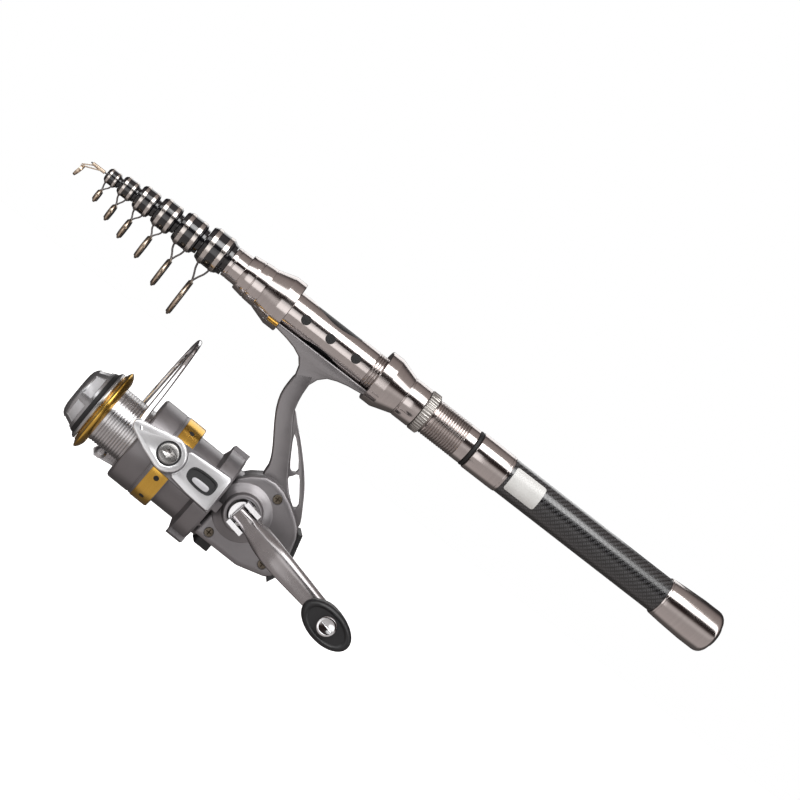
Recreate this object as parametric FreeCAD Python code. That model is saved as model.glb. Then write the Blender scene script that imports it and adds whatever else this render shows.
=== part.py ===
"""Telescopic fishing rod with a spinning reel clamped in its seat.

Frame: millimetres, origin at the centre of the butt end face, +X along the rod towards the tip, +Z up,
the reel hanging below at -Z and its crank on the +Y side. Each sub-part is written to parts/NAME.step.
"""

import FreeCAD, Part
import math
import os

V = FreeCAD.Vector

# ---- driving dimensions: rod handle and reel seat ----
GRIP_R = 10.7              # carbon grip tube
SEAT_TUBE_R = 9.3          # the same tube where it carries the seat
HANDLE_REAR_X = 4.0
HANDLE_MOUTH_X = 333.5     # front end of the handle tube
HANDLE_BORE_REAR_R = 8.55
HANDLE_BORE_MOUTH_R = 7.9
MOUTH_LIP_X = HANDLE_MOUTH_X - 1.0     # rear of the mouth's turned-in lip
MOUTH_NECK_R = 8.4
EDGE = 0.3                 # small broken edge, also the play round the foot
CAP_END_X = 1.0
CAP_TAPER_X = 22.0         # where the cap begins to narrow
CAP_LENGTH = 38.0
CAP_MAX_R = 12.9
CAP_FRONT_R = 11.5
CAP_ROUND = 4.75
PLUG_R = 7.9
PLUG_CHAMFER = 0.9
PLUG_DEPTH = 10.0
RING_STEP = 3.0            # lap of the ring over the grip
GRIP_RING = (147.0, 169.0, 11.2)       # rear x, front x, radius
O_RING = (169.0, 171.5, 10.7)
SEAT_R = 10.6
SEAT_REAR_X = 171.5
SEAT_FRONT_X = 296.0
THREAD = (178.0, 240.0)
THREAD_PITCH = 1.5
THREAD_DEPTH = 0.45
LINER_R = 9.95
LINER = (243.0, 292.0)
SCOOP_HALF = (17.5, 7.7)               # half length and half width of a seat window
SCOOP_X = 267.0
PLUG_HOLE_R = 2.8
PLUG_HOLE_XS = (249.8, 266.8, 283.0)
HOOD_R = 15.3
REAR_HOOD = (217.2, 228.0, 235.0)      # small end, shoulder, mouth
REAR_HOOD_SMALL_R = 12.0
COLLAR = (205.6, 216.9, 11.9)
NUT = (199.4, 205.3, 12.3)
NUT_FLUTES = 28
FLUTE_R = 0.6
NUT_CHAMFER = 0.7
RUN_GAP = 0.06                         # radial running clearance
FRONT_HOOD = (293.0, 300.0, 310.0)     # mouth, shoulder, small end
FERRULE_STEP_X = 324.5
FERRULE_R = (12.0, 10.2, 8.9)

# ---- reel foot sizes shared with the hoods ----
FOOT_HALF_WIDTH = 7.0
FOOT_TIP_THICK = 2.4
POCKET_GAP = 0.25          # play under the foot in a hood
FOOT_FRONT_X = 301.5
FOOT_REAR_X = 228.5

# ---- driving dimensions: telescopic sections ----
STROKE = 282.0
OVERLAP = 37.5
# barrel rear x, barrel front x, barrel radius, neck radius, droop below its parent when closed
SECTIONS = {
    7: (333.9, 350.3, 10.6, 9.2, 0.2),
    6: (350.7, 366.0, 9.3, 7.3, 1.0),
    5: (366.4, 380.0, 8.2, 5.6, 0.5),
    4: (380.4, 392.4, 7.2, 5.0, 0.6),
    3: (392.8, 403.1, 5.5, 4.2, 0.6),
    2: (403.5, 412.0, 4.2, 3.0, 0.5),
}
TIP_DROOP = 0.3
TIP_FRONT_X = 422.0
# blank outer radius at rear and front, bore radius at rear and front
BLANKS = {
    7: (7.82, 7.4, 7.35, 6.38),
    6: (6.3, 5.3, 5.8, 4.92),
    5: (4.85, 4.35, 4.42, 3.82),
    4: (3.74, 3.15, 3.32, 2.72),
    3: (2.64, 2.05, 2.26, 1.72),
    2: (1.64, 1.12, 1.3, 0.87),
    1: (0.8, 0.4, 0.0, 0.0),
}
BAND_PROUD = 0.3
BAND_WIDTH = 2.7
# ring centre x, ring outer radius, ring centre below the section axis, wire radius
GUIDES = {
    7: (343.0, 11.4, 31.2, 0.75),
    6: (358.5, 9.0, 25.8, 0.7),
    5: (374.0, 7.5, 20.6, 0.6),
    4: (387.5, 6.4, 18.4, 0.55),
    3: (398.4, 5.4, 15.5, 0.5),
    2: (409.0, 4.1, 12.2, 0.45),
}
RING_WALL = 1.15
RING_LENGTH = 2.6
INSERT_WALL = 0.5
TIP_RING = (424.6, 3.9, 7.2)           # centre x, outer radius, centre below the tip axis

# ---- driving dimensions: reel, in its own frame ----
# Origin where the spool axis meets the crank, +X along the spool axis, +Z towards the rod.
REEL_AT = V(248.0, 0.0, -106.0)
REEL_TILT = -1.75                      # degrees about Y: the spool looks slightly up at the first guide
ROTOR_TURN = 12.0                      # degrees about the spool axis at rest
WALL = 2.2
SIDE_Y = 16.0
SPLIT_Y = 9.0                          # joint between housing and side cover
BODY_OUTLINE = [(13.5, 18.0), (2.0, 28.5), (-10.0, 28.0), (-23.0, 22.0), (-30.5, 15.0), (-36.0, -4.0),
                (-32.0, -13.0), (-15.0, -18.5), (13.5, -18.5)]
SCREW_PLACES = [(-10.0, 22.5), (7.0, -13.5), (-25.5, -9.0)]
CRANK_Z = 5.6                          # crank axis above the spool axis
SHAFT_R = 2.0
CRANK_SHAFT_R = 2.8
PINION_TEETH = 8
GEAR_TEETH = 38
PINION_R = 3.45                        # pitch radius
PINION_X = (14.0, 19.2)
GEAR_RADII = (15.6, 18.4)
GEAR_TOOTH_Y = (-4.35, -3.15)
OSC_AT = -14.0                         # oscillation gear centre, behind the crank
OSC_TEETH = 27
HUB_TEETH = 15
OSC_MODULE = -2 * OSC_AT / (OSC_TEETH + HUB_TEETH)
SPOOL_R = 25.5
ARBOR_R = 16.5
LIP_R = 24.6
ARM_Y = (26.2, 30.5)
PIVOT_X = 50.0
LEVER_Y = (30.8, 34.3)
WIRE_R = 1.3
CRANK_LENGTH = 62.5
CRANK_TURN = 9.5                       # degrees below the rearward direction at rest
# the arm seen from above: it bows out past the opened bail, then runs straight to the knob
CRANK_BOW = [(4.0, 30.5), (4.0, 38.0), (-7.0, 38.6), (-12.0, 42.5), (-18.0, 48.5), (-24.0, 52.2), (-33.0, 53.6),
             (-68.0, 54.0), (-68.0, 48.8), (-34.0, 48.2), (-26.0, 46.8), (-20.0, 42.5), (-14.5, 35.5), (-8.0, 30.5)]
KNOB_Y = 55.4                          # inner end of the knob
# knob outline: distance from its inner end, long radius, short radius
KNOB_RINGS = [(0.0, 6.6, 6.0), (4.6, 9.0, 7.4), (14.6, 11.8, 8.4), (25.6, 15.0, 9.2), (31.6, 15.6, 9.2),
              (33.6, 14.2, 8.0)]
KNOB_LENGTH = 33.6

OUT = "parts"
NODES = {}


def add(name, shape):
    """Keep a finished shape under its node name."""
    NODES[name] = shape


def turned(points, base=V(0, 0, 0)):
    """Solid of revolution about the X axis through base, from (x, radius) points."""
    corners = [base + V(x, 0, r) for x, r in points]
    face = Part.Face(Part.makePolygon(corners + corners[:1]))
    return face.revolve(base, V(1, 0, 0), 360)


def rod_along(start, end, radius):
    """Round bar from one point to another."""
    return Part.makeCylinder(radius, (end - start).Length, start, end - start)


def tube_x(x0, x1, outer, inner, z=0.0):
    """Plain ring or tube along X."""
    return turned([(x0, inner), (x0, outer), (x1, outer), (x1, inner)], V(0, 0, z))


def box(x0, x1, y0, y1, z0, z1):
    """Block between two corners."""
    return Part.makeBox(x1 - x0, y1 - y0, z1 - z0, V(x0, y0, z0))


def axis_z(number):
    """Height of a section's axis when the rod is closed: each one rests low in the one outside it."""
    drop = sum(SECTIONS[k][4] for k in SECTIONS if k >= number)
    return -(drop + (TIP_DROOP if number == 1 else 0.0))


def make_handle():
    """Carbon tube, butt cap, plug, grip rings."""
    add("handle_tube", turned([
        (HANDLE_REAR_X, HANDLE_BORE_REAR_R), (HANDLE_REAR_X, GRIP_R), (GRIP_RING[0] + RING_STEP, GRIP_R),
        (GRIP_RING[0] + RING_STEP, SEAT_TUBE_R), (FRONT_HOOD[2], SEAT_TUBE_R), (MOUTH_LIP_X, MOUTH_NECK_R),
        (MOUTH_LIP_X, HANDLE_BORE_MOUTH_R)]))
    profile = turned([
        (CAP_END_X, PLUG_R), (CAP_END_X, CAP_MAX_R), (CAP_TAPER_X, CAP_MAX_R), (CAP_LENGTH, CAP_FRONT_R),
        (CAP_LENGTH, GRIP_R), (HANDLE_REAR_X, GRIP_R), (HANDLE_REAR_X, PLUG_R)])
    end_edge = [e for e in profile.Edges if abs(e.BoundBox.XMax - CAP_END_X) < 1e-6 and e.BoundBox.ZMax > PLUG_R + 1]
    add("butt_cap", profile.makeFillet(CAP_ROUND, end_edge))
    add("butt_plug", turned([(0, 0), (0, PLUG_R - PLUG_CHAMFER), (PLUG_CHAMFER, PLUG_R), (PLUG_DEPTH, PLUG_R),
                             (PLUG_DEPTH, 0)]))
    x0, x1, radius = GRIP_RING
    add("grip_front_ring", turned([
        (x0, GRIP_R), (x0, radius - EDGE), (x0 + EDGE, radius), (x1 - EDGE, radius), (x1, radius - EDGE),
        (x1, SEAT_TUBE_R), (x0 + RING_STEP, SEAT_TUBE_R), (x0 + RING_STEP, GRIP_R)]))
    x0, x1, radius = O_RING
    add("grip_o_ring", turned([(x0, SEAT_TUBE_R), (x0, radius - 0.5), (x0 + 0.5, radius), (x1 - 0.5, radius),
                               (x1, radius - 0.5), (x1, SEAT_TUBE_R)]))


def thread_points():
    """Outline of the ridged stretch of the seat, from rear to front."""
    points = []
    count = int(round((THREAD[1] - THREAD[0]) / THREAD_PITCH))
    for i in range(count):
        x = THREAD[0] + i * THREAD_PITCH
        points += [(x, SEAT_R - THREAD_DEPTH), (x + 0.35 * THREAD_PITCH, SEAT_R), (x + 0.7 * THREAD_PITCH, SEAT_R)]
    return points


def foot_pocket(x0, x1, depth):
    """Space inside a hood that takes one end of the reel foot."""
    return box(x0, x1, -FOOT_HALF_WIDTH - EDGE, FOOT_HALF_WIDTH + EDGE, -SEAT_R - depth, 0)


def make_seat():
    """Threaded seat shell, black liner with side plugs, hoods, collar and nut."""
    shell = turned(
        [(SEAT_REAR_X, SEAT_TUBE_R), (SEAT_REAR_X, SEAT_R - EDGE), (SEAT_REAR_X + EDGE, SEAT_R),
         (THREAD[0] - 0.5, SEAT_R)] + thread_points() +
        [(THREAD[1], SEAT_R - THREAD_DEPTH), (THREAD[1] + 0.5, SEAT_R), (SEAT_FRONT_X, SEAT_R),
         (SEAT_FRONT_X, SEAT_TUBE_R), (LINER[1], SEAT_TUBE_R), (LINER[1], LINER_R), (LINER[0], LINER_R),
         (LINER[0], SEAT_TUBE_R)])
    scoop = Part.Face(Part.Wire(Part.Ellipse(V(SCOOP_X, 0, -20), *SCOOP_HALF).toShape())).extrude(V(0, 0, 40))
    liner = tube_x(LINER[0], LINER[1], LINER_R, SEAT_TUBE_R)
    for x in PLUG_HOLE_XS:
        hole = rod_along(V(x, -20, 0), V(x, 20, 0), PLUG_HOLE_R)
        shell = shell.cut(hole)
        pip = rod_along(V(x, -SEAT_R + 0.2, 0), V(x, SEAT_R - 0.2, 0), PLUG_HOLE_R)
        liner = liner.fuse(pip.cut(rod_along(V(x - 20, 0, 0), V(x + 20, 0, 0), SEAT_TUBE_R)))
    add("seat_barrel", shell.cut(scoop))
    add("seat_liner", liner.removeSplitter())

    x0, x1, x2 = FRONT_HOOD
    hood = turned([(x0, SEAT_R), (x0, HOOD_R - 0.4), (x0 + 0.4, HOOD_R), (x1, HOOD_R), (x2, FERRULE_R[0] + 0.2),
                   (x2, SEAT_TUBE_R), (SEAT_FRONT_X, SEAT_TUBE_R), (SEAT_FRONT_X, SEAT_R)])
    add("front_hood", hood.cut(foot_pocket(x0 - 1, FOOT_FRONT_X + EDGE, FOOT_TIP_THICK + POCKET_GAP).cut(
        rod_along(V(x0 - 2, 0, 0), V(x2, 0, 0), SEAT_R))))
    add("front_ferrule", turned([
        (x2, SEAT_TUBE_R), (x2, FERRULE_R[0]), (FERRULE_STEP_X, FERRULE_R[1]), (FERRULE_STEP_X, FERRULE_R[2]),
        (HANDLE_MOUTH_X - EDGE, FERRULE_R[2]), (HANDLE_MOUTH_X, FERRULE_R[2] - EDGE), (HANDLE_MOUTH_X, MOUTH_NECK_R - EDGE),
        (MOUTH_LIP_X, MOUTH_NECK_R)]))
    bore = SEAT_R + RUN_GAP
    x0, x1, x2 = REAR_HOOD
    hood = turned([(x0, bore), (x0, REAR_HOOD_SMALL_R), (x1, HOOD_R + 0.2), (x2 - 0.4, HOOD_R + 0.2),
                   (x2, HOOD_R - 0.2), (x2, bore)])
    pocket = foot_pocket(FOOT_REAR_X - EDGE, x2 + 1, FOOT_TIP_THICK + POCKET_GAP)
    add("rear_hood", hood.cut(pocket.cut(rod_along(V(x0 - 2, 0, 0), V(x2 + 2, 0, 0), SEAT_R))))
    x0, x1, radius = COLLAR
    add("hood_collar", turned([(x0, bore), (x0, radius - EDGE), (x0 + EDGE, radius), (x1 - EDGE, radius),
                               (x1, radius - EDGE), (REAR_HOOD[0], radius - EDGE), (REAR_HOOD[0], bore)]))
    x0, x1, radius = NUT
    nut = turned([(x0, bore), (x0, radius - NUT_CHAMFER), (x0 + NUT_CHAMFER, radius), (x1 - 0.5, radius), (x1, radius - 0.5),
                  (x1, bore)])
    for i in range(NUT_FLUTES):
        turn = 2 * math.pi * i / NUT_FLUTES
        y = (radius + EDGE) * math.cos(turn)
        z = (radius + EDGE) * math.sin(turn)
        nut = nut.cut(rod_along(V(x0 - 1, y, z), V(x1 + 1, y, z), FLUTE_R))
    add("locking_nut", nut)


def parent_mouth(number):
    """Front end of the tube that a section slides in."""
    return HANDLE_MOUTH_X if number == 7 else SECTIONS[number + 1][1]


def make_sections():
    """Tapered blanks, each with its thick wrapped front end, nested in one another."""
    for number, (x0, x1, barrel_r, neck_r, _) in SECTIONS.items():
        outer_rear, outer_front, bore_rear, bore_front = BLANKS[number]
        rear = parent_mouth(number) - STROKE - OVERLAP
        bevel = 0.12 * (x1 - x0)
        add(f"section_{number}", turned([
            (rear, bore_rear), (rear, outer_rear), (x0, outer_front), (x0, neck_r), (x0 + bevel, neck_r + 0.3),
            (x0 + 1.4 * bevel, barrel_r - 0.35), (x0 + 2.0 * bevel, barrel_r), (x1 - 1.3 * bevel, barrel_r),
            (x1 - 0.3 * bevel, barrel_r - 0.8), (x1, barrel_r - 1.5), (x1, bore_front)], V(0, 0, axis_z(number))))
    outer_rear, outer_front, _, _ = BLANKS[1]
    rear = parent_mouth(1) - STROKE - OVERLAP
    add("section_1", turned([(rear, 0), (rear, outer_rear), (TIP_FRONT_X, outer_front), (TIP_FRONT_X, 0)],
                            V(0, 0, axis_z(1))))


def guide_ring(centre, radius, length):
    """Frame ring and its thin wear-proof insert, both along X."""
    ring = tube_x(-length / 2, length / 2, radius, radius - RING_WALL)
    ring = ring.makeFillet(0.3, [e for e in ring.Edges if e.BoundBox.ZMax > radius - 0.01
                                 and e.BoundBox.XLength < 0.01])
    insert = tube_x(-length / 2 - 0.15, length / 2 + 0.15, radius - RING_WALL, radius - RING_WALL - INSERT_WALL)
    ring.translate(centre)
    insert.translate(centre)
    return ring, insert


def make_guides():
    """Two bands round each wrapped end carry a V of wires, the ring and its insert."""
    for number, (ring_x, ring_r, below, wire_r) in GUIDES.items():
        x0, x1, barrel_r, _, _ = SECTIONS[number]
        z = axis_z(number)
        bevel = 0.12 * (x1 - x0)
        width = BAND_WIDTH * (x1 - x0) / 16.4
        band_xs = (x0 + 2.0 * bevel, x1 - 1.3 * bevel - width)
        centre = V(ring_x, 0, z - below)
        ring, insert = guide_ring(centre, ring_r, RING_LENGTH)
        frame = ring
        for band_x in band_xs:
            frame = frame.fuse(tube_x(band_x, band_x + width, barrel_r + BAND_PROUD, barrel_r, z))
            foot = V(band_x + width / 2, 0, z - barrel_r - 0.1)
            top = centre + V(0, 0, ring_r - 0.5)
            leg = rod_along(foot, top, wire_r)
            frame = frame.fuse(leg)
        frame = frame.cut(rod_along(V(x0, 0, z), V(x1, 0, z), barrel_r))
        hole = rod_along(centre - V(5, 0, 0), centre + V(5, 0, 0), ring_r - RING_WALL)
        frame = frame.cut(hole)
        add(f"guide_{number}", Part.makeCompound([frame, insert]))
    x, ring_r, below = TIP_RING
    z = axis_z(1)
    centre = V(x, 0, z - below)
    ring, insert = guide_ring(V(0, 0, 0), ring_r, 1.4)
    for shape in (ring, insert):
        shape.rotate(V(0, 0, 0), V(0, 1, 0), -14)
        shape.translate(centre)
    blank_r = BLANKS[1][1]
    sleeve = turned([(413.2, blank_r), (413.2, 1.0), (421.0, 0.95), (421.0, blank_r)], V(0, 0, z))
    sleeve = sleeve.cut(NODES["section_1"])
    frame = ring.fuse(sleeve)
    for side in (-1, 1):
        frame = frame.fuse(rod_along(V(415.0, side * 0.9, z - 0.3), centre + V(0.7, side * 2.2, 2.6), 0.32))
    frame = frame.fuse(rod_along(V(420.3, 0, z - 0.7), centre + V(0.9, 0, ring_r - 0.5), 0.32))
    hole = rod_along(V(-5, 0, 0), V(5, 0, 0), ring_r - RING_WALL)
    hole.rotate(V(0, 0, 0), V(0, 1, 0), -14)
    hole.translate(centre)
    add("guide_1", Part.makeCompound([frame.cut(hole).cut(NODES["section_1"]), insert]))


def plate(points, y0, y1):
    """Flat plate with an outline in X and Z, from y0 to y1."""
    corners = [V(x, y0, z) for x, z in points]
    return Part.Face(Part.makePolygon(corners + corners[:1])).extrude(V(0, y1 - y0, 0))


def rounded_plate(points, y0, y1, radius):
    """Plate whose corners, seen from the side, are rounded."""
    solid = plate(points, y0, y1)
    return solid.makeFillet(radius, [e for e in solid.Edges if e.BoundBox.YLength > y1 - y0 - 0.01])


def bent_rod(points, radius):
    """Round wire through points, with a ball at each bend."""
    wire = rod_along(points[0], points[1], radius)
    for start, end in zip(points[1:], points[2:]):
        wire = wire.fuse(Part.makeSphere(radius, start)).fuse(rod_along(start, end, radius))
    return wire.removeSplitter()


def add_reel(name, shape, rotor=False):
    """Place a shape from the reel's frame, turning rotor pieces to their rest angle first."""
    placed = shape.copy()
    if rotor:
        placed.rotate(V(0, 0, 0), V(1, 0, 0), ROTOR_TURN)
    placed.rotate(V(0, 0, 0), V(0, 1, 0), REEL_TILT)
    placed.translate(REEL_AT)
    add(name, placed)


def cross_rod(x, z, y0, y1, radius):
    """Round bar along Y in the reel's frame."""
    return rod_along(V(x, y0, z), V(x, y1, z), radius)


def body_cavity(y0, y1):
    """Space inside the body outline."""
    corners = [V(x, y0, z) for x, z in BODY_OUTLINE]
    face = Part.Face(Part.makePolygon(corners + corners[:1]))
    return face.makeOffset2D(-WALL).extrude(V(0, y1 - y0, 0))


def make_housing():
    """Housing with its nose, screw posts, bearing seats, curved leg and foot, in one casting."""
    shell = rounded_plate(BODY_OUTLINE, -SIDE_Y, SPLIT_Y, 3.0)
    shell = shell.makeFillet(2.0, [e for e in shell.Edges if e.BoundBox.YMax < -SIDE_Y + 0.01])
    shell = shell.cut(body_cavity(-SIDE_Y + WALL, SPLIT_Y))
    shell = shell.fuse(turned([(12.0, 0), (12.0, 21.5), (21.0, 21.5), (22.0, 20.5), (22.0, 11.0), (32.0, 11.0),
                               (32.0, 0)]).common(box(11.0, 33.0, -22.0, 22.0, -22.0, 22.0)).cut(
        box(11.0, 13.5, SPLIT_Y, 23.0, -23.0, 23.0)))
    for x, z in SCREW_PLACES:
        post = cross_rod(x, z, -SIDE_Y + 1.0, SPLIT_Y, 3.0)
        shell = shell.fuse(post).cut(cross_rod(x, z, 0, SPLIT_Y, 1.2))
    shell = shell.fuse(cross_rod(0, CRANK_Z, -19.0, -10.6, 9.0)).cut(cross_rod(0, CRANK_Z, -18.9, -14.8, 6.0))
    shell = shell.cut(cross_rod(0, CRANK_Z, -20.0, -10.0, CRANK_SHAFT_R + 0.3))
    shell = shell.cut(cross_rod(0, CRANK_Z, -8.2, -2.7, GEAR_RADII[1] + 0.5))
    shell = shell.cut(turned([(8.0, 0), (8.0, 5.0), (20.0, 5.0), (20.0, 9.0), (33.0, 9.0), (33.0, 0)]))
    shell = shell.cut(rod_along(V(7.0, 0, -20.0), V(7.0, 0, -14.0), 1.86))
    shell.rotate(V(0, 0, 0), V(0, 1, 0), REEL_TILT)
    shell.translate(REEL_AT)
    leg = plate([(269.4, -20), (269.8, -38), (268, -44.5), (262, -55), (255, -64.5), (251, -71), (249.8, -79.0),
                 (228.0, -82.5), (240.3, -70.5), (250, -54), (256.8, -44), (260, -36), (260.4, -20)], -5.8, 5.8)
    leg = leg.makeFillet(2.2, [e for e in leg.Edges if e.BoundBox.YLength < 0.1 and e.BoundBox.ZMin > -76
                               and e.BoundBox.ZLength > 4])
    fin = plate([(257, -42.5), (250, -49), (240, -58), (228, -72), (217.8, -88.2), (220.5, -91.5), (231.5, -83.5),
                 (241.5, -71), (252, -54)], -3.4, 3.4)
    for window in ([(249.3, -54.3), (236.7, -66.6), (240.4, -69.3)],
                   [(234.6, -69.1), (238.2, -72.2), (227.5, -82.5), (225.8, -80.0)]):
        fin = fin.cut(plate(window, -9, 9))
    foot = plate([(FOOT_REAR_X, -9.8), (FOOT_REAR_X, -11.6), (233, -12.9), (235.6, -13), (250, -15.3),
                  (256, -17), (260.4, -22),
                  (269.4, -22), (273, -17), (279, -15.3), (292.4, -13), (296.5, -12.9), (FOOT_FRONT_X, -12.2),
                  (FOOT_FRONT_X, -9.8)], -FOOT_HALF_WIDTH, FOOT_HALF_WIDTH)
    foot = foot.cut(rod_along(V(200, 0, 0), V(330, 0, 0), SEAT_R))
    add("reel_frame", shell.fuse([leg, fin, foot]))


def make_covers():
    """Side cover with the crank boss, rear cover, screws and the screw cap on the far side."""
    cover = rounded_plate(BODY_OUTLINE, SPLIT_Y, SIDE_Y, 3.0)
    cover = cover.makeFillet(2.5, [e for e in cover.Edges if e.BoundBox.YMin > SIDE_Y - 0.01])
    cover = cover.cut(body_cavity(SPLIT_Y, SIDE_Y - WALL))
    boss = Part.makeCone(13.3, 11.2, 4.0, V(0, SIDE_Y - 1.0, CRANK_Z), V(0, 1, 0))
    cover = cover.fuse([boss, cross_rod(0, CRANK_Z, SIDE_Y - 1.0, 24.0, 10.5),
                        cross_rod(OSC_AT, CRANK_Z, 6.3, SIDE_Y - 1.0, 3.2)])
    cover = cover.cut(cross_rod(0, CRANK_Z, 19.5, 25.0, 6.5)).cut(cross_rod(0, CRANK_Z, 5.0, 20.0, 3.4))
    cover = cover.cut(cross_rod(OSC_AT, CRANK_Z, 6.0, 13.5, 1.56))
    screws = []
    for x, z in SCREW_PLACES:
        cover = cover.cut(cross_rod(x, z, 15.0, 18.0, 2.9)).cut(cross_rod(x, z, 8.0, 16.0, 1.2))
        head = cross_rod(x, z, 15.0, 16.3, 2.6)
        for slot in (box(-2.0, 2.0, 15.7, 17.0, -0.35, 0.35), box(-0.35, 0.35, 15.7, 17.0, -2.0, 2.0)):
            slot.translate(V(x, 0, z))
            head = head.cut(slot)
        screws.append(head.fuse(cross_rod(x, z, 1.0, 15.0, 1.2)))
    posts = [cross_rod(x, z, SPLIT_Y, 15.0, 3.0).cut(cross_rod(x, z, 8.0, 16.0, 1.2)) for x, z in SCREW_PLACES]
    add_reel("side_cover", cover.fuse(posts))
    add_reel("housing_screws", Part.makeCompound(screws))
    add_reel("rear_cover", plate([(-30.5, 15.0), (-32.7, 15.8), (-38.3, -4.1), (-33.4, -15.2), (-32.0, -13.0),
                                  (-36.0, -4.0)], -15.6, 15.6))
    switch = rounded_plate([(0.5, -24.0), (0.5, -18.8), (11.6, -18.8), (11.6, -22.0), (9.0, -24.0)], -4.5, 4.5, 0.9)
    swept = box(-1.0, 7.0, -6.0, 6.0, -25.0, -18.0).fuse(rod_along(V(7.0, 0, -25.0), V(7.0, 0, -18.0), 4.6))
    switch = switch.common(swept)
    add_reel("anti_reverse_switch", switch.fuse(rod_along(V(7.0, 0, -19.0), V(7.0, 0, -15.0), 1.8)))


def toothed_wheel(teeth, module, y0, y1):
    """Spur wheel along Y at the origin, with plain trapezoid teeth."""
    pitch_r = teeth * module / 2
    points = []
    for i in range(teeth):
        for share, radius in ((-0.34, pitch_r - 1.1 * module), (-0.14, pitch_r + 0.7 * module),
                              (0.14, pitch_r + 0.7 * module), (0.34, pitch_r - 1.1 * module)):
            turn = 2 * math.pi * (i + share) / teeth
            points.append((radius * math.cos(turn), radius * math.sin(turn)))
    return plate(points, y0, y1)


def make_gears():
    """Crown gear on the crank shaft, pinion on the spool axis, oscillation gear, bearings and clutch."""
    root_y, top_y = GEAR_TOOTH_Y
    wheel = cross_rod(0, 0, root_y - 3.2, root_y, GEAR_RADII[1]).fuse(cross_rod(0, 0, root_y - 5.5, root_y, 5.5))
    reach = math.sqrt(GEAR_RADII[0] ** 2 - CRANK_Z ** 2)
    far = math.sqrt(GEAR_RADII[1] ** 2 - CRANK_Z ** 2) - 0.15
    tooth = box(reach, far, root_y - 0.5, top_y, -CRANK_Z - 0.5, -CRANK_Z + 0.5)
    teeth = []
    for i in range(GEAR_TEETH):
        copy = tooth.copy()
        copy.rotate(V(0, 0, 0), V(0, 1, 0), 360.0 * (i + 0.5) / GEAR_TEETH)
        teeth.append(copy)
    hub = toothed_wheel(HUB_TEETH, OSC_MODULE, 3.0, 6.0)
    wheel = wheel.fuse(teeth).fuse([hub, cross_rod(0, 0, -22.0, 30.0, CRANK_SHAFT_R)])
    wheel.translate(V(0, 0, CRANK_Z))
    add_reel("drive_gear", wheel)

    osc = toothed_wheel(OSC_TEETH, OSC_MODULE, 3.1, 5.9)
    osc = osc.fuse([cross_rod(0, 0, 5.0, 13.2, 1.5), cross_rod(6.0, 0, 2.9, 3.4, 1.2)])
    osc.translate(V(OSC_AT, 0, CRANK_Z))
    add_reel("oscillation_gear", osc)

    x0, x1 = PINION_X
    pinion = turned([(12.4, SHAFT_R + 0.1), (12.4, 2.9), (x0, 2.9), (x1 + 0.5, 2.9), (x1 + 0.5, 3.9), (33.0, 3.9),
                     (37.0, 3.9), (43.0, 3.4), (43.0, SHAFT_R + 0.1)])
    tooth = box(x0, x1, -4.0, -2.5, -0.45, 0.45)
    for i in range(PINION_TEETH):
        copy = tooth.copy()
        copy.rotate(V(0, 0, 0), V(1, 0, 0), 360.0 * i / PINION_TEETH)
        pinion = pinion.fuse(copy)
    add_reel("pinion_gear", pinion.cut(rod_along(V(10, 0, 0), V(50, 0, 0), SHAFT_R + 0.1)))
    add_reel("pinion_bearing", tube_x(20.0, 24.0, 9.0, 3.96))
    add_reel("one_way_clutch", tube_x(24.4, 31.5, 9.0, 3.96))
    rings = [cross_rod(0, CRANK_Z, -18.8, -14.8, 6.0), cross_rod(0, CRANK_Z, 19.5, 23.5, 6.5)]
    bore = cross_rod(0, CRANK_Z, -30.0, 30.0, CRANK_SHAFT_R + RUN_GAP)
    add_reel("drive_bearings", Part.makeCompound([ring.cut(bore) for ring in rings]))


def make_rotor():
    """Cup, flange and the two arms that carry the bail, with plates over the arms."""
    cup = turned([(14.4, 22.2), (14.4, 26.2), (15.5, 27.0), (24.0, 27.0), (26.0, 21.6), (50.0, 21.6), (50.0, 20.0),
                  (36.0, 20.0), (36.0, 3.9), (33.0, 3.9), (33.0, 12.0), (23.0, 12.0), (23.0, 22.2)])
    covers = []
    for side in (1, -1):
        arm = plate([(15.5, -11.0), (15.5, 11.0), (PIVOT_X, 9.5), (PIVOT_X, -9.5)], ARM_Y[0], ARM_Y[1])
        arm = arm.fuse([cross_rod(PIVOT_X, 0, ARM_Y[0], ARM_Y[1], 9.5), box(15.5, 26.0, 20.0, ARM_Y[0], -10.0, 10.0)])
        block = box(14.4, 24.0, -6.5, 6.5, 24.0, 29.0)
        over = rounded_plate([(16.0, -10.0), (16.0, 9.0), (37.3, 7.8), (37.3, -7.8)], ARM_Y[1], ARM_Y[1] + 1.4, 5.0)
        over = over.cut(rounded_plate([(20.0, -4.5), (20.0, 4.5), (35.0, 4.0), (35.0, -4.0)], ARM_Y[1] + 0.6,
                                      ARM_Y[1] + 2.0, 3.6))
        bore = cross_rod(PIVOT_X, 0, ARM_Y[0] - 1, ARM_Y[1] + 1, 2.06)
        pieces = [arm.cut(bore), block, over]
        if side < 0:
            for piece in pieces:
                piece.rotate(V(0, 0, 0), V(1, 0, 0), 180)
        cup = cup.fuse(pieces[:2])
        covers.append(pieces[2])
    cup = cup.cut(rod_along(V(10, 0, 0), V(23, 0, 0), 22.2))
    add_reel("rotor", cup, rotor=True)
    add_reel("arm_covers", Part.makeCompound(covers), rotor=True)
    hexagon = [V(36.0, 7.0 * math.cos(math.pi / 3 * i), 7.0 * math.sin(math.pi / 3 * i)) for i in range(6)]
    nut = Part.Face(Part.makePolygon(hexagon + hexagon[:1])).extrude(V(4.0, 0, 0))
    add_reel("rotor_nut", nut.cut(turned([(35, 0), (35, 3.9), (37, 3.9), (43, 3.4), (43, 0)])), rotor=True)


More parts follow.
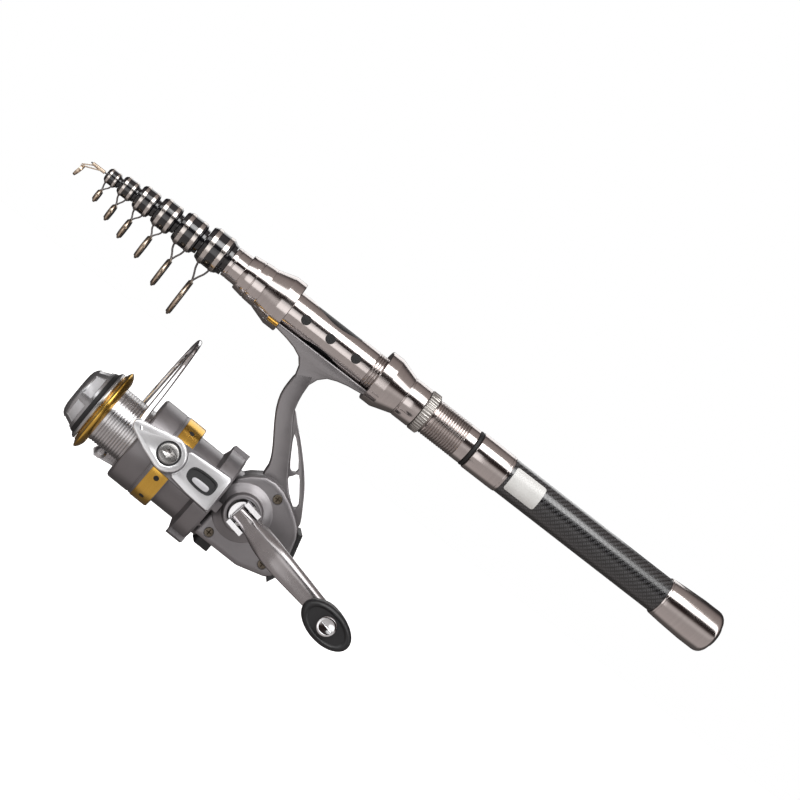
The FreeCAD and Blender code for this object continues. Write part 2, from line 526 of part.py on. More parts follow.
def bail_arch():
    """Points of the bail wire from the near lever over the top to the line roller."""
    points = []
    count = 14
    for i in range(count + 1):
        turn = math.pi * i / count * 0.97
        wide = 31.0 * math.copysign(abs(math.cos(turn)) ** 0.8, math.cos(turn))
        high = 3.0 + 55.5 * math.sin(turn) ** 0.8
        points.append(V(71.5 + 4.5 * i / count, wide, high))
    return points + [V(76.7, -28.0, -3.0), V(76.9, -24.4, -9.5), V(77.0, -23.8, -14.5)]


def make_bail():
    """Lever and roller arm on the rotor arms, the wire between them, roller and pivot screws."""
    lever = plate([(PIVOT_X, -9.7), (PIVOT_X, 9.7), (64.0, 5.5), (73.0, 4.5), (73.0, -3.0), (60.0, -7.5)], *LEVER_Y)
    lever = lever.fuse(cross_rod(PIVOT_X, 0, LEVER_Y[0], LEVER_Y[1], 9.7))
    wire = bent_rod(bail_arch(), WIRE_R)
    lever = lever.cut(cross_rod(PIVOT_X, 0, 25.0, 40.0, SHAFT_R)).cut(wire)
    arm = plate([(PIVOT_X, -9.0), (PIVOT_X, 9.0), (60.0, 2.0), (79.5, -12.0), (81.5, -16.0), (79.0, -19.0),
                 (66.0, -17.0)], -LEVER_Y[1], -LEVER_Y[0])
    arm = arm.fuse(cross_rod(PIVOT_X, 0, -LEVER_Y[1], -LEVER_Y[0], 9.0))
    arm = arm.cut(cross_rod(PIVOT_X, 0, -40.0, -25.0, SHAFT_R)).cut(wire)
    pin = cross_rod(77.0, -16.0, -30.8, -25.6, 1.2)
    cone = Part.makeCone(3.4, 1.8, 2.6, V(77.0, -25.6, -16.0), V(0, 1, 0))
    add_reel("roller_arm", arm.fuse([pin.cut(wire), cone.cut(wire)]), rotor=True)
    add_reel("bail_lever", lever, rotor=True)
    add_reel("bail_wire", wire, rotor=True)
    roller = cross_rod(77.0, -16.0, -30.5, -25.9, 3.2).cut(cross_rod(77.0, -16.0, -31.0, -25.0, 1.26))
    add_reel("line_roller", roller.cut(Part.makeTorus(4.3, 1.6, V(77.0, -28.2, -16.0), V(0, 1, 0))), rotor=True)
    screws = []
    for side in (1, -1):
        screw = cross_rod(PIVOT_X, 0, ARM_Y[0] + 0.4, LEVER_Y[1], SHAFT_R).fuse(
            cross_rod(PIVOT_X, 0, LEVER_Y[1], LEVER_Y[1] + 1.2, 5.0))
        for slot in (box(-2.6, 2.6, 34.8, 36.0, -0.5, 0.5), box(-0.5, 0.5, 34.8, 36.0, -2.6, 2.6)):
            slot.translate(V(PIVOT_X, 0, 0))
            screw = screw.cut(slot)
        if side < 0:
            screw.rotate(V(0, 0, 0), V(1, 0, 0), 180)
        screws.append(screw)
    add_reel("bail_screws", Part.makeCompound(screws), rotor=True)


def make_spool():
    """Main shaft, slider, spool with gold lip and band, drag washers and drag knob."""
    add_reel("main_shaft", rod_along(V(-15.0, 0, 0), V(100.5, 0, 0), SHAFT_R))
    slider = box(-15.8, -9.0, -2.7, 2.6, -5.5, 7.5).cut(box(-14.3, -11.5, 1.2, 3.0, -4.0, 8.5))
    add_reel("slider_block", slider.cut(rod_along(V(-15.0, 0, 0), V(0, 0, 0), SHAFT_R)))
    bore = SHAFT_R + RUN_GAP
    grooves = []
    for i in range(9):
        x = 69.0 + 2.0 * i
        grooves += [(x, ARBOR_R), (x + 0.6, ARBOR_R - 0.4), (x + 1.2, ARBOR_R)]
    add_reel("spool", turned([(41.0, 24.3), (41.0, SPOOL_R), (67.1, SPOOL_R), (67.5, SPOOL_R - 0.4),
                              (67.5, ARBOR_R)] +
                             grooves +
                             [(87.0, ARBOR_R), (87.0, 19.5), (92.6, 19.5), (93.5, 18.6), (93.5, 14.5), (81.0, 14.5),
                              (81.0, bore), (60.0, bore), (60.0, 6.0), (77.0, 6.0), (77.0, 14.5), (65.0, 14.5),
                              (65.0, 24.3)]))
    add_reel("spool_lip_ring", turned([(87.0, 19.5), (87.4, 21.0), (88.4, 23.8), (89.6, LIP_R), (90.8, LIP_R),
                                       (91.8, 23.4), (92.4, 20.8), (92.4, 19.5)]))
    band = tube_x(41.5, 51.5, SPOOL_R + 0.3, SPOOL_R)
    for i in range(10):
        turn = 2 * math.pi * (i + 0.5) / 10
        out = V(46.5, 30 * math.cos(turn), 30 * math.sin(turn))
        band = band.cut(rod_along(V(46.5, 0, 0), out, 1.5))
    add_reel("spool_skirt_band", band)
    washers = [tube_x(81.3 + 1.65 * i, 82.6 + 1.65 * i, 13.9, SHAFT_R) for i in range(5)]
    add_reel("drag_washers", Part.makeCompound(washers))
    knob = turned([(90.0, bore), (90.0, 8.0), (94.1, 8.0), (94.1, 20.6), (95.9, 18.6), (97.4, 18.3),
                   (98.2, 17.6),
                   (103.6, 16.2), (106.2, 13.2), (107.0, 9.0), (107.2, 0), (101.0, 0), (101.0, bore)])
    add_reel("drag_knob", knob)


def crank_frame(shape):
    """Turn a shape built along -X from the crank axis to the crank's rest angle, and place it."""
    placed = shape.copy()
    placed.rotate(V(0, 0, 0), V(0, 1, 0), -CRANK_TURN)
    placed.translate(V(0, 0, CRANK_Z))
    return placed


def make_crank():
    """Hinge bracket, curved arm, spindle, swivelling knob and the cap screw on the far side."""
    cap = cross_rod(0, CRANK_Z, -24.0, -19.3, 7.0)
    add_reel("handle_screw_cap", cap.cut(cross_rod(0, CRANK_Z, -22.0, -19.0, CRANK_SHAFT_R)))
    bracket = cross_rod(0, 0, 24.3, 29.5, 7.2)
    bracket = bracket.fuse([box(-6.0, 4.0, 28.5, 38.0, 5.0, 7.6), box(-6.0, 4.0, 28.5, 38.0, -7.6, -5.0)])
    bracket = bracket.cut(cross_rod(0, 0, 20.0, 30.0, CRANK_SHAFT_R)).cut(
        rod_along(V(-1.0, 34.0, -9.0), V(-1.0, 34.0, 9.0), 1.5))
    arm = Part.Face(Part.makePolygon([V(x, y, -9.0) for x, y in CRANK_BOW + CRANK_BOW[:1]])).extrude(V(0, 0, 18.0))
    outline = rounded_plate([(4.0, -4.8), (4.0, 4.8), (-7.0, 4.8), (-12.0, 7.2), (-62.0, 5.2), (-68.0, 4.0),
                             (-68.0, -4.0), (-62.0, -5.2), (-12.0, -7.2), (-7.0, -4.8)], 25.0, 60.0, 0.8)
    arm = arm.common(outline).cut(rod_along(V(-1.0, 34.0, -9.0), V(-1.0, 34.0, 9.0), 1.5))
    arm = arm.cut(cross_rod(-CRANK_LENGTH, 0, 40.0, KNOB_Y, SHAFT_R))
    add_reel("crank_hinge", crank_frame(bracket))
    add_reel("crank_hinge_pin", crank_frame(rod_along(V(-1.0, 34.0, -8.2), V(-1.0, 34.0, 8.2), 1.5)))
    add_reel("crank_arm", crank_frame(arm))
    knob_end = KNOB_Y + KNOB_LENGTH
    spindle = cross_rod(-CRANK_LENGTH, 0, 48.0, knob_end + 0.3, SHAFT_R).fuse(
        cross_rod(-CRANK_LENGTH, 0, KNOB_Y - 1.4, KNOB_Y - 0.4, 4.2))
    add_reel("knob_spindle", crank_frame(spindle))
    rings = []
    for along, long_r, short_r in KNOB_RINGS:
        ellipse = Part.Ellipse(V(0, 0, 0), long_r, short_r).toShape()
        ellipse.rotate(V(0, 0, 0), V(1, 0, 0), 90)
        ellipse.translate(V(-CRANK_LENGTH, KNOB_Y + along, 0))
        rings.append(Part.Wire(ellipse))
    knob = Part.makeLoft(rings, True, False)
    add_reel("crank_knob", crank_frame(knob.cut(cross_rod(-CRANK_LENGTH, 0, 50.0, 95.0, SHAFT_R + RUN_GAP))))
    add_reel("knob_cap", crank_frame(cross_rod(-CRANK_LENGTH, 0, knob_end + 0.3, knob_end + 1.5, 5.4)))


def write_parts():
    """One STEP file for each node."""
    os.makedirs(OUT, exist_ok=True)
    for name, shape in NODES.items():
        if not shape.isValid():
            print("not valid:", name)
        shape.exportStep(os.path.join(OUT, name + ".step"))
        print(f"{name}: {len(shape.Solids)} solids, {shape.Volume / 1000:.2f} cm3")


make_handle()
make_seat()
make_sections()
make_guides()
make_housing()
make_covers()
make_gears()
make_rotor()
make_bail()
make_spool()
make_crank()
write_parts()
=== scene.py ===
"""Telescopic fishing rod and spinning reel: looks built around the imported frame.

Everything is in metres in the frame's own axes: +X along the rod from the butt, +Z up, the crank side at +Y.
Sizes written in millimetres go through MM. The reel's pieces are shaped in the reel's own frame, whose origin
is where the spool axis meets the crank, and are then placed with on_reel.
"""

import logging
import math
from collections.abc import Callable, Iterable, Sequence
from dataclasses import dataclass
from enum import Enum
import bmesh
import bpy
from mathutils import Matrix, Vector


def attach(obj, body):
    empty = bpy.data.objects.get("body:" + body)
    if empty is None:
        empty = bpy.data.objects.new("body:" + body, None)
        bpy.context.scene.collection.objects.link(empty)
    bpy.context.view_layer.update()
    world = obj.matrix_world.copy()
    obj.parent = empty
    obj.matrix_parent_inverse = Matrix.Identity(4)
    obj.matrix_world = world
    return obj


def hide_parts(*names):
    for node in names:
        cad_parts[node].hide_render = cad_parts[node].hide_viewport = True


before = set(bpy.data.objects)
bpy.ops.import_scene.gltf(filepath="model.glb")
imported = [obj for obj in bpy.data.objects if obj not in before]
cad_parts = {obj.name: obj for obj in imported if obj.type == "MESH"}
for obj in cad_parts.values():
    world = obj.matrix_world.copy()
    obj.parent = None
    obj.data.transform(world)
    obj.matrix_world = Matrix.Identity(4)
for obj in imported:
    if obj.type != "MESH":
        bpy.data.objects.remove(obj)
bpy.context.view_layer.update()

log = logging.getLogger("rod_and_reel")

MM = 0.001
Point2 = tuple[float, float]
Point3 = tuple[float, float, float]
Colour = tuple[float, float, float]


class Axis(Enum):
    """A main direction of the frame."""

    X = (1.0, 0.0, 0.0)
    Y = (0.0, 1.0, 0.0)
    Z = (0.0, 0.0, 1.0)


# ---------------------------------------------------------------- node groups and finishes


class Tree:
    """Adds and joins nodes in one shader tree."""

    def __init__(self, tree: bpy.types.NodeTree) -> None:
        """Keep the tree to work in.

        Args:
            tree: a material's, world's or group's node tree.
        """
        self.tree = tree

    def add(self, kind: str, values: dict[str | int, object] | None = None, **settings: object) -> bpy.types.Node:
        """Add a node, set its properties and its inputs.

        Args:
            kind: the node's type name.
            values: what goes into its inputs, either constants or the sockets to link from.
            settings: the node's own properties.

        Returns:
            The new node.
        """
        node = self.tree.nodes.new(kind)
        for name, value in settings.items():
            setattr(node, name, value)
        for key, value in (values or {}).items():
            self.feed(node.inputs[key], value)
        return node

    def feed(self, socket: bpy.types.NodeSocket, value: object) -> None:
        """Link a socket into another, or set it to a constant.

        Args:
            socket: the input.
            value: an output socket or a constant.
        """
        if isinstance(value, bpy.types.NodeSocket):
            self.tree.links.new(value, socket)
        else:
            socket.default_value = value

    def math(self, operation: str, a: object, b: object = 0.0) -> bpy.types.NodeSocket:
        """One Math node.

        Args:
            operation: its operation.
            a: first value.
            b: second value.

        Returns:
            Its output.
        """
        return self.add("ShaderNodeMath", {0: a, 1: b}, operation=operation).outputs[0]

    def spread(self, value: object, low: float, high: float) -> bpy.types.NodeSocket:
        """Turn a 0 to 1 value into one between two limits.

        Args:
            value: the 0 to 1 value.
            low: what 0 becomes.
            high: what 1 becomes.

        Returns:
            The new value.
        """
        node = self.add("ShaderNodeMapRange", {"Value": value, "To Min": low, "To Max": high})
        return node.outputs["Result"]

    def blend(self, factor: object, a: object, b: object) -> bpy.types.NodeSocket:
        """Mix two colours.

        Args:
            factor: share of the second.
            a: first colour.
            b: second colour.

        Returns:
            The mixed colour.
        """
        node = self.add("ShaderNodeMix", data_type="RGBA")
        self.feed(node.inputs["Factor"], factor)
        self.feed(node.inputs[6], a)
        self.feed(node.inputs[7], b)
        return node.outputs[2]


class Effects:
    """The shader node groups that the finishes share, each built once."""

    made: dict[str, bpy.types.NodeTree] = {}

    @classmethod
    def group(cls, name: str, inputs: dict[str, tuple[str, float]], outputs: dict[str, str],
              build: Callable[[Tree, bpy.types.Node, bpy.types.Node], None]) -> bpy.types.NodeTree:
        """Make a node group the first time it is asked for.

        Args:
            name: the group's name.
            inputs: input names with their kind and default.
            outputs: output names with their kind.
            build: fills the group, given its tree and its input and output nodes.

        Returns:
            The group.
        """
        if name not in cls.made:
            tree = bpy.data.node_groups.new(name, "ShaderNodeTree")
            for label, (kind, default) in inputs.items():
                socket = tree.interface.new_socket(label, in_out="INPUT", socket_type=f"NodeSocket{kind}")
                if kind == "Float":
                    socket.default_value = default
            for label, kind in outputs.items():
                tree.interface.new_socket(label, in_out="OUTPUT", socket_type=f"NodeSocket{kind}")
            bench = Tree(tree)
            build(bench, bench.add("NodeGroupInput"), bench.add("NodeGroupOutput"))
            cls.made[name] = tree
        return cls.made[name]

    @classmethod
    def grain(cls) -> bpy.types.NodeTree:
        """Fine even grain with broad handling marks over it.

        Returns:
            A group from Vector, Size and Detail to Height, Fine and Broad.
        """

        def build(t: Tree, given: bpy.types.Node, out: bpy.types.Node) -> None:
            """Fill the group: t is its tree, given its inputs, out its outputs."""
            scale = t.math("DIVIDE", 1.0, given.outputs["Size"])
            fine = t.add("ShaderNodeTexNoise", {"Vector": given.outputs["Vector"], "Scale": scale,
                                                "Detail": given.outputs["Detail"], "Roughness": 0.6})
            broad = t.add("ShaderNodeTexNoise", {"Vector": given.outputs["Vector"], "Scale": 60.0, "Detail": 3.0,
                                                 "Distortion": 0.6})
            t.feed(out.inputs["Height"], fine.outputs[0])
            t.feed(out.inputs["Fine"], t.spread(fine.outputs[0], -0.5, 1.5))
            t.feed(out.inputs["Broad"], t.spread(broad.outputs[0], -0.6, 1.6))

        return cls.group("Grain and handling", {"Vector": ("Vector", 0), "Size": ("Float", 0.0004),
                                                "Detail": ("Float", 2.0)},
                         {"Height": "Float", "Fine": "Float", "Broad": "Float"}, build)

    @classmethod
    def tool_marks(cls) -> bpy.types.NodeTree:
        """Close rings left by a lathe about the X axis.

        Returns:
            A group from Vector and Pitch to Height and Tone.
        """

        def build(t: Tree, given: bpy.types.Node, out: bpy.types.Node) -> None:
            """Fill the group: t is its tree, given its inputs, out its outputs."""
            parts = t.add("ShaderNodeSeparateXYZ", {0: given.outputs["Vector"]})
            along = t.math("DIVIDE", parts.outputs[0], given.outputs["Pitch"])
            fine = t.add("ShaderNodeTexNoise", {"W": along, "Scale": 1.0, "Detail": 3.0}, noise_dimensions="1D")
            slow = t.add("ShaderNodeTexNoise", {"W": t.math("MULTIPLY", along, 0.13), "Scale": 1.0},
                         noise_dimensions="1D")
            t.feed(out.inputs["Height"], fine.outputs[0])
            t.feed(out.inputs["Tone"], t.spread(t.math("ADD", t.math("MULTIPLY", fine.outputs[0], 0.5),
                                                       t.math("MULTIPLY", slow.outputs[0], 0.5)), -0.4, 1.4))

        return cls.group("Tool marks", {"Vector": ("Vector", 0), "Pitch": ("Float", 0.0002)},
                         {"Height": "Float", "Tone": "Float"}, build)

    @classmethod
    def carbon_cloth(cls) -> bpy.types.NodeTree:
        """Diamond weave wound round the X axis.

        Returns:
            A group from Vector, Step and Around to Tow and Gap.
        """

        def build(t: Tree, given: bpy.types.Node, out: bpy.types.Node) -> None:
            """Fill the group: t is its tree, given its inputs, out its outputs."""
            parts = t.add("ShaderNodeSeparateXYZ", {0: given.outputs["Vector"]})
            along = t.math("DIVIDE", parts.outputs[0], given.outputs["Step"])
            turn = t.math("DIVIDE", t.math("ARCTAN2", parts.outputs[2], parts.outputs[1]), 2 * math.pi)
            around = t.math("MULTIPLY", turn, given.outputs["Around"])
            one = t.math("PINGPONG", t.math("ADD", along, around), 0.5)
            two = t.math("PINGPONG", t.math("SUBTRACT", along, around), 0.5)
            width = t.math("MINIMUM", one, two)
            over = t.math("GREATER_THAN", one, two)
            t.feed(out.inputs["Tow"], over)
            gap = t.add("ShaderNodeMapRange", {"Value": width, "From Min": 0.05, "From Max": 0.17},
                        interpolation_type="SMOOTHSTEP")
            t.feed(out.inputs["Gap"], gap.outputs[0])

        return cls.group("Carbon cloth", {"Vector": ("Vector", 0), "Step": ("Float", 0.003),
                                          "Around": ("Float", 22.0)},
                         {"Tow": "Float", "Gap": "Float"}, build)


@dataclass(frozen=True)
class Place:
    """Where a pattern sits: the origin and turn of the frame that it is drawn in."""

    at: Point3 = (0.0, 0.0, 0.0)
    turn: Point3 = (0.0, 0.0, 0.0)


ROD_PLACE = Place()
REEL_PLACE = Place((0.248, 0.0, -0.106), (0.0, math.radians(-1.75), 0.0))


@dataclass(frozen=True)
class Finish:
    """A surface with grain, handling marks and, where it was turned, tool marks."""

    name: str
    colour: Colour
    deep: Colour
    metallic: float = 0.0
    roughness: tuple[float, float] = (0.3, 0.4)
    grain: float = 0.0004
    bump: float = 0.05
    turned: float = 0.0
    coat: float = 0.0
    coat_roughness: float = 0.08
    place: Place = ROD_PLACE

    def material(self) -> bpy.types.Material:
        """The finish as a material, built the first time it is asked for.

        Returns:
            The material.
        """
        known = bpy.data.materials.get(self.name)
        if known:
            return known
        material = bpy.data.materials.new(self.name)
        material.use_nodes = True
        t = Tree(material.node_tree)
        shader = material.node_tree.nodes["Principled BSDF"]
        spot = t.add("ShaderNodeTexCoord").outputs["Object"]
        vector = t.add("ShaderNodeMapping", {"Vector": spot, "Location": self.place.at, "Rotation": self.place.turn},
                       vector_type="TEXTURE").outputs[0]
        shader.inputs["Metallic"].default_value = self.metallic
        shader.inputs["Coat Weight"].default_value = self.coat
        shader.inputs["Coat Roughness"].default_value = self.coat_roughness
        self.dress(t, shader, vector)
        return material

    def dress(self, t: Tree, shader: bpy.types.Node, vector: bpy.types.NodeSocket) -> None:
        """Feed the shader's colour, roughness and normal.

        Args:
            t: the material's tree.
            shader: its Principled node.
            vector: the place on the surface.
        """
        grain = t.add("ShaderNodeGroup", node_tree=Effects.grain())
        t.feed(grain.inputs["Vector"], vector)
        t.feed(grain.inputs["Size"], self.grain)
        tone, height = grain.outputs["Fine"], grain.outputs["Height"]
        if self.turned:
            marks = t.add("ShaderNodeGroup", node_tree=Effects.tool_marks())
            t.feed(marks.inputs["Vector"], vector)
            t.feed(marks.inputs["Pitch"], self.turned)
            tone, height = marks.outputs["Tone"], marks.outputs["Height"]
        share = t.math("ADD", t.math("MULTIPLY", tone, 0.55), t.math("MULTIPLY", grain.outputs["Broad"], 0.45))
        t.feed(shader.inputs["Base Color"], t.blend(share, (*self.deep, 1.0), (*self.colour, 1.0)))
        t.feed(shader.inputs["Roughness"], t.spread(grain.outputs["Broad"], *self.roughness))
        bump = t.add("ShaderNodeBump", {"Height": height, "Strength": self.bump, "Distance": 0.0002})
        t.feed(shader.inputs["Normal"], bump.outputs[0])


@dataclass(frozen=True)
class CarbonCloth(Finish):
    """Carbon weave under clear lacquer."""

    step: float = 0.0032
    around: float = 20.0

    def dress(self, t: Tree, shader: bpy.types.Node, vector: bpy.types.NodeSocket) -> None:
        """Feed the shader from the weave.

        Args:
            t: the material's tree.
            shader: its Principled node.
            vector: the place on the surface.
        """
        cloth = t.add("ShaderNodeGroup", node_tree=Effects.carbon_cloth())
        t.feed(cloth.inputs["Vector"], vector)
        t.feed(cloth.inputs["Step"], self.step)
        t.feed(cloth.inputs["Around"], self.around)
        grain = t.add("ShaderNodeGroup", node_tree=Effects.grain())
        t.feed(grain.inputs["Vector"], vector)
        t.feed(grain.inputs["Size"], self.grain)
        tow = t.blend(cloth.outputs["Tow"], (*self.deep, 1.0), (*self.colour, 1.0))
        tow = t.blend(t.math("MULTIPLY", grain.outputs["Fine"], 0.25), tow, (*self.colour, 1.0))
        t.feed(shader.inputs["Base Color"], t.blend(cloth.outputs["Gap"], (0.002, 0.002, 0.002, 1.0), tow))
        t.feed(shader.inputs["Roughness"], t.spread(cloth.outputs["Tow"], *self.roughness))
        bump = t.add("ShaderNodeBump", {"Height": cloth.outputs["Gap"], "Strength": self.bump, "Distance": 0.0002})
        t.feed(shader.inputs["Normal"], bump.outputs[0])


GUNMETAL = Finish("Polished gunmetal", (0.7, 0.645, 0.625), (0.56, 0.51, 0.495), 1.0, (0.1, 0.19), 0.0006, 0.03,
                  turned=0.00022, coat=0.35)
THREAD_METAL = Finish("Cut thread gunmetal", (0.5, 0.45, 0.43), (0.33, 0.29, 0.275), 1.0, (0.2, 0.32), 0.0004, 0.1,
                      turned=0.0001)
NUT_METAL = Finish("Brushed nut metal", (0.5, 0.48, 0.455), (0.36, 0.34, 0.32), 1.0, (0.28, 0.42), 0.0003, 0.2)
CARBON = CarbonCloth("Carbon grip cloth", (0.06, 0.06, 0.064), (0.018, 0.018, 0.02), 0.0, (0.22, 0.38), 0.0005, 0.25,
                     coat=1.0, coat_roughness=0.12)
LACQUER = Finish("Black blank lacquer", (0.012, 0.012, 0.015), (0.005, 0.005, 0.006), 0.0, (0.1, 0.2), 0.0008, 0.04,
                 coat=0.8, coat_roughness=0.04)
BAND_SILVER = Finish("Bright band plating", (0.78, 0.74, 0.7), (0.6, 0.55, 0.52), 1.0, (0.14, 0.26), 0.0003, 0.05,
                     turned=0.00012)
GUIDE_METAL = Finish("Champagne guide plating", (0.78, 0.64, 0.5), (0.55, 0.44, 0.34), 1.0, (0.18, 0.3), 0.0003, 0.08)
WIRE_METAL = Finish("Darkened guide wire", (0.26, 0.24, 0.235), (0.1, 0.09, 0.09), 1.0, (0.24, 0.38), 0.0003, 0.1)
REEL_PAINT = Finish("Satin reel paint", (0.27, 0.255, 0.262), (0.2, 0.19, 0.197), 0.72, (0.3, 0.42), 0.00012, 0.09,
                    coat=0.25, coat_roughness=0.2, place=REEL_PLACE)
LEG_PAINT = Finish("Satin leg paint", (0.26, 0.245, 0.25), (0.19, 0.18, 0.185), 0.72, (0.28, 0.4), 0.00012, 0.09,
                   coat=0.3, coat_roughness=0.18)
GOLD = Finish("Gold anodising", (0.95, 0.6, 0.13), (0.75, 0.42, 0.07), 1.0, (0.16, 0.28), 0.0004, 0.05,
              turned=0.0002, place=REEL_PLACE)
CHROME = Finish("Bright chrome", (0.86, 0.86, 0.87), (0.72, 0.72, 0.74), 1.0, (0.06, 0.14), 0.0006, 0.03,
                place=REEL_PLACE)
# Rougher chrome with a pale diffuse share; the extra brightness is painted sheen standing in for reflections of
# bright surroundings.
CHROME_WITH_PAINTED_SHEEN = Finish("Satin chrome with painted sheen", (0.88, 0.88, 0.89), (0.74, 0.74, 0.76), 0.5, (0.16, 0.26), 0.0006, 0.04,
                      coat=0.5, coat_roughness=0.08, place=REEL_PLACE)
ARBOR = Finish("Turned spool silver", (0.74, 0.73, 0.73), (0.5, 0.49, 0.5), 1.0, (0.16, 0.3), 0.0004, 0.15,
               turned=0.00015, place=REEL_PLACE)
CRANK_METAL = Finish("Cast crank metal", (0.44, 0.42, 0.425), (0.33, 0.31, 0.315), 0.9, (0.2, 0.32), 0.00018, 0.08,
                     coat=0.3, coat_roughness=0.12, place=REEL_PLACE)
# Black plastic for the real plastic parts; also painted shade on the spool hole discs and the lever's shadow ring.
BLACK_PLASTIC_AND_SHADE = Finish("Moulded black plastic and painted shade", (0.02, 0.02, 0.021), (0.01, 0.01, 0.011), 0.0, (0.4, 0.55), 0.00025,
                       0.12, place=REEL_PLACE)
KNOB_PLASTIC = Finish("Soft knob plastic", (0.016, 0.016, 0.018), (0.007, 0.007, 0.008), 0.0, (0.34, 0.5), 0.0003,
                      0.15, place=REEL_PLACE)
BLACK_RUBBER = Finish("Black rubber", (0.014, 0.014, 0.015), (0.006, 0.006, 0.006), 0.0, (0.5, 0.65), 0.0003, 0.15)
KNOB_SILVER = Finish("Pale knob plating", (0.5, 0.5, 0.515), (0.4, 0.4, 0.41), 0.85, (0.2, 0.3), 0.0003, 0.05,
                     place=REEL_PLACE)
WINDOW_GREY = Finish("Pale window plastic", (0.66, 0.66, 0.68), (0.5, 0.5, 0.52), 0.1, (0.25, 0.35), 0.0004, 0.05,
                     coat=0.5, place=REEL_PLACE)
STEEL = Finish("Ground steel", (0.58, 0.57, 0.56), (0.4, 0.39, 0.38), 1.0, (0.2, 0.34), 0.0003, 0.1,
               place=REEL_PLACE)
DARK_SCREW = Finish("Bronzed screw", (0.2, 0.17, 0.13), (0.09, 0.075, 0.06), 1.0, (0.28, 0.42), 0.0003, 0.15,
                    place=REEL_PLACE)
BRASS = Finish("Machined brass", (0.72, 0.52, 0.24), (0.5, 0.35, 0.14), 1.0, (0.2, 0.34), 0.0003, 0.1,
               place=REEL_PLACE)
ZINC = Finish("Die cast zinc", (0.42, 0.42, 0.43), (0.28, 0.28, 0.29), 0.95, (0.32, 0.45), 0.0002, 0.2,
              place=REEL_PLACE)
STICKER = Finish("Plain label film", (0.8, 0.8, 0.78), (0.68, 0.68, 0.66), 0.0, (0.35, 0.5), 0.0006, 0.03, coat=0.3)

CARRIED_OVER: dict[Finish, tuple[str, ...]] = {
    GUNMETAL: ("butt_cap", "grip_front_ring", "seat_barrel", "front_hood", "front_ferrule", "rear_hood",
               "hood_collar"),
    CARBON: ("handle_tube",),
    BLACK_RUBBER: ("butt_plug", "grip_o_ring"),
    NUT_METAL: ("locking_nut",),
    BLACK_PLASTIC_AND_SHADE: ("seat_liner", "anti_reverse_switch", "rear_cover"),
    LACQUER: tuple(f"section_{number}" for number in range(1, 8)),
    GUIDE_METAL: tuple(f"guide_{number}" for number in range(1, 8)),
    REEL_PAINT: ("reel_frame", "side_cover", "rotor", "handle_screw_cap"),
    GOLD: ("spool_lip_ring", "spool_skirt_band"),
    CHROME: ("arm_covers", "bail_lever", "bail_wire", "roller_arm", "line_roller", "crank_hinge", "knob_cap"),
    ARBOR: ("spool",),
    CRANK_METAL: ("crank_arm",),
    KNOB_PLASTIC: ("crank_knob",),
    KNOB_SILVER: ("drag_knob",),
    STEEL: ("main_shaft", "pinion_bearing", "one_way_clutch", "drive_bearings", "bail_screws", "knob_spindle",
            "crank_hinge_pin", "drag_washers"),
    DARK_SCREW: ("housing_screws",),
    BRASS: ("pinion_gear", "rotor_nut"),
    ZINC: ("drive_gear", "oscillation_gear", "slider_block"),
}


def dress_carried_over() -> None:
    """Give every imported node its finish."""
    for finish, names in CARRIED_OVER.items():
        for name in names:
            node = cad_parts[name]
            node.data.materials.clear()
            node.data.materials.append(finish.material())


# ---------------------------------------------------------------- stage


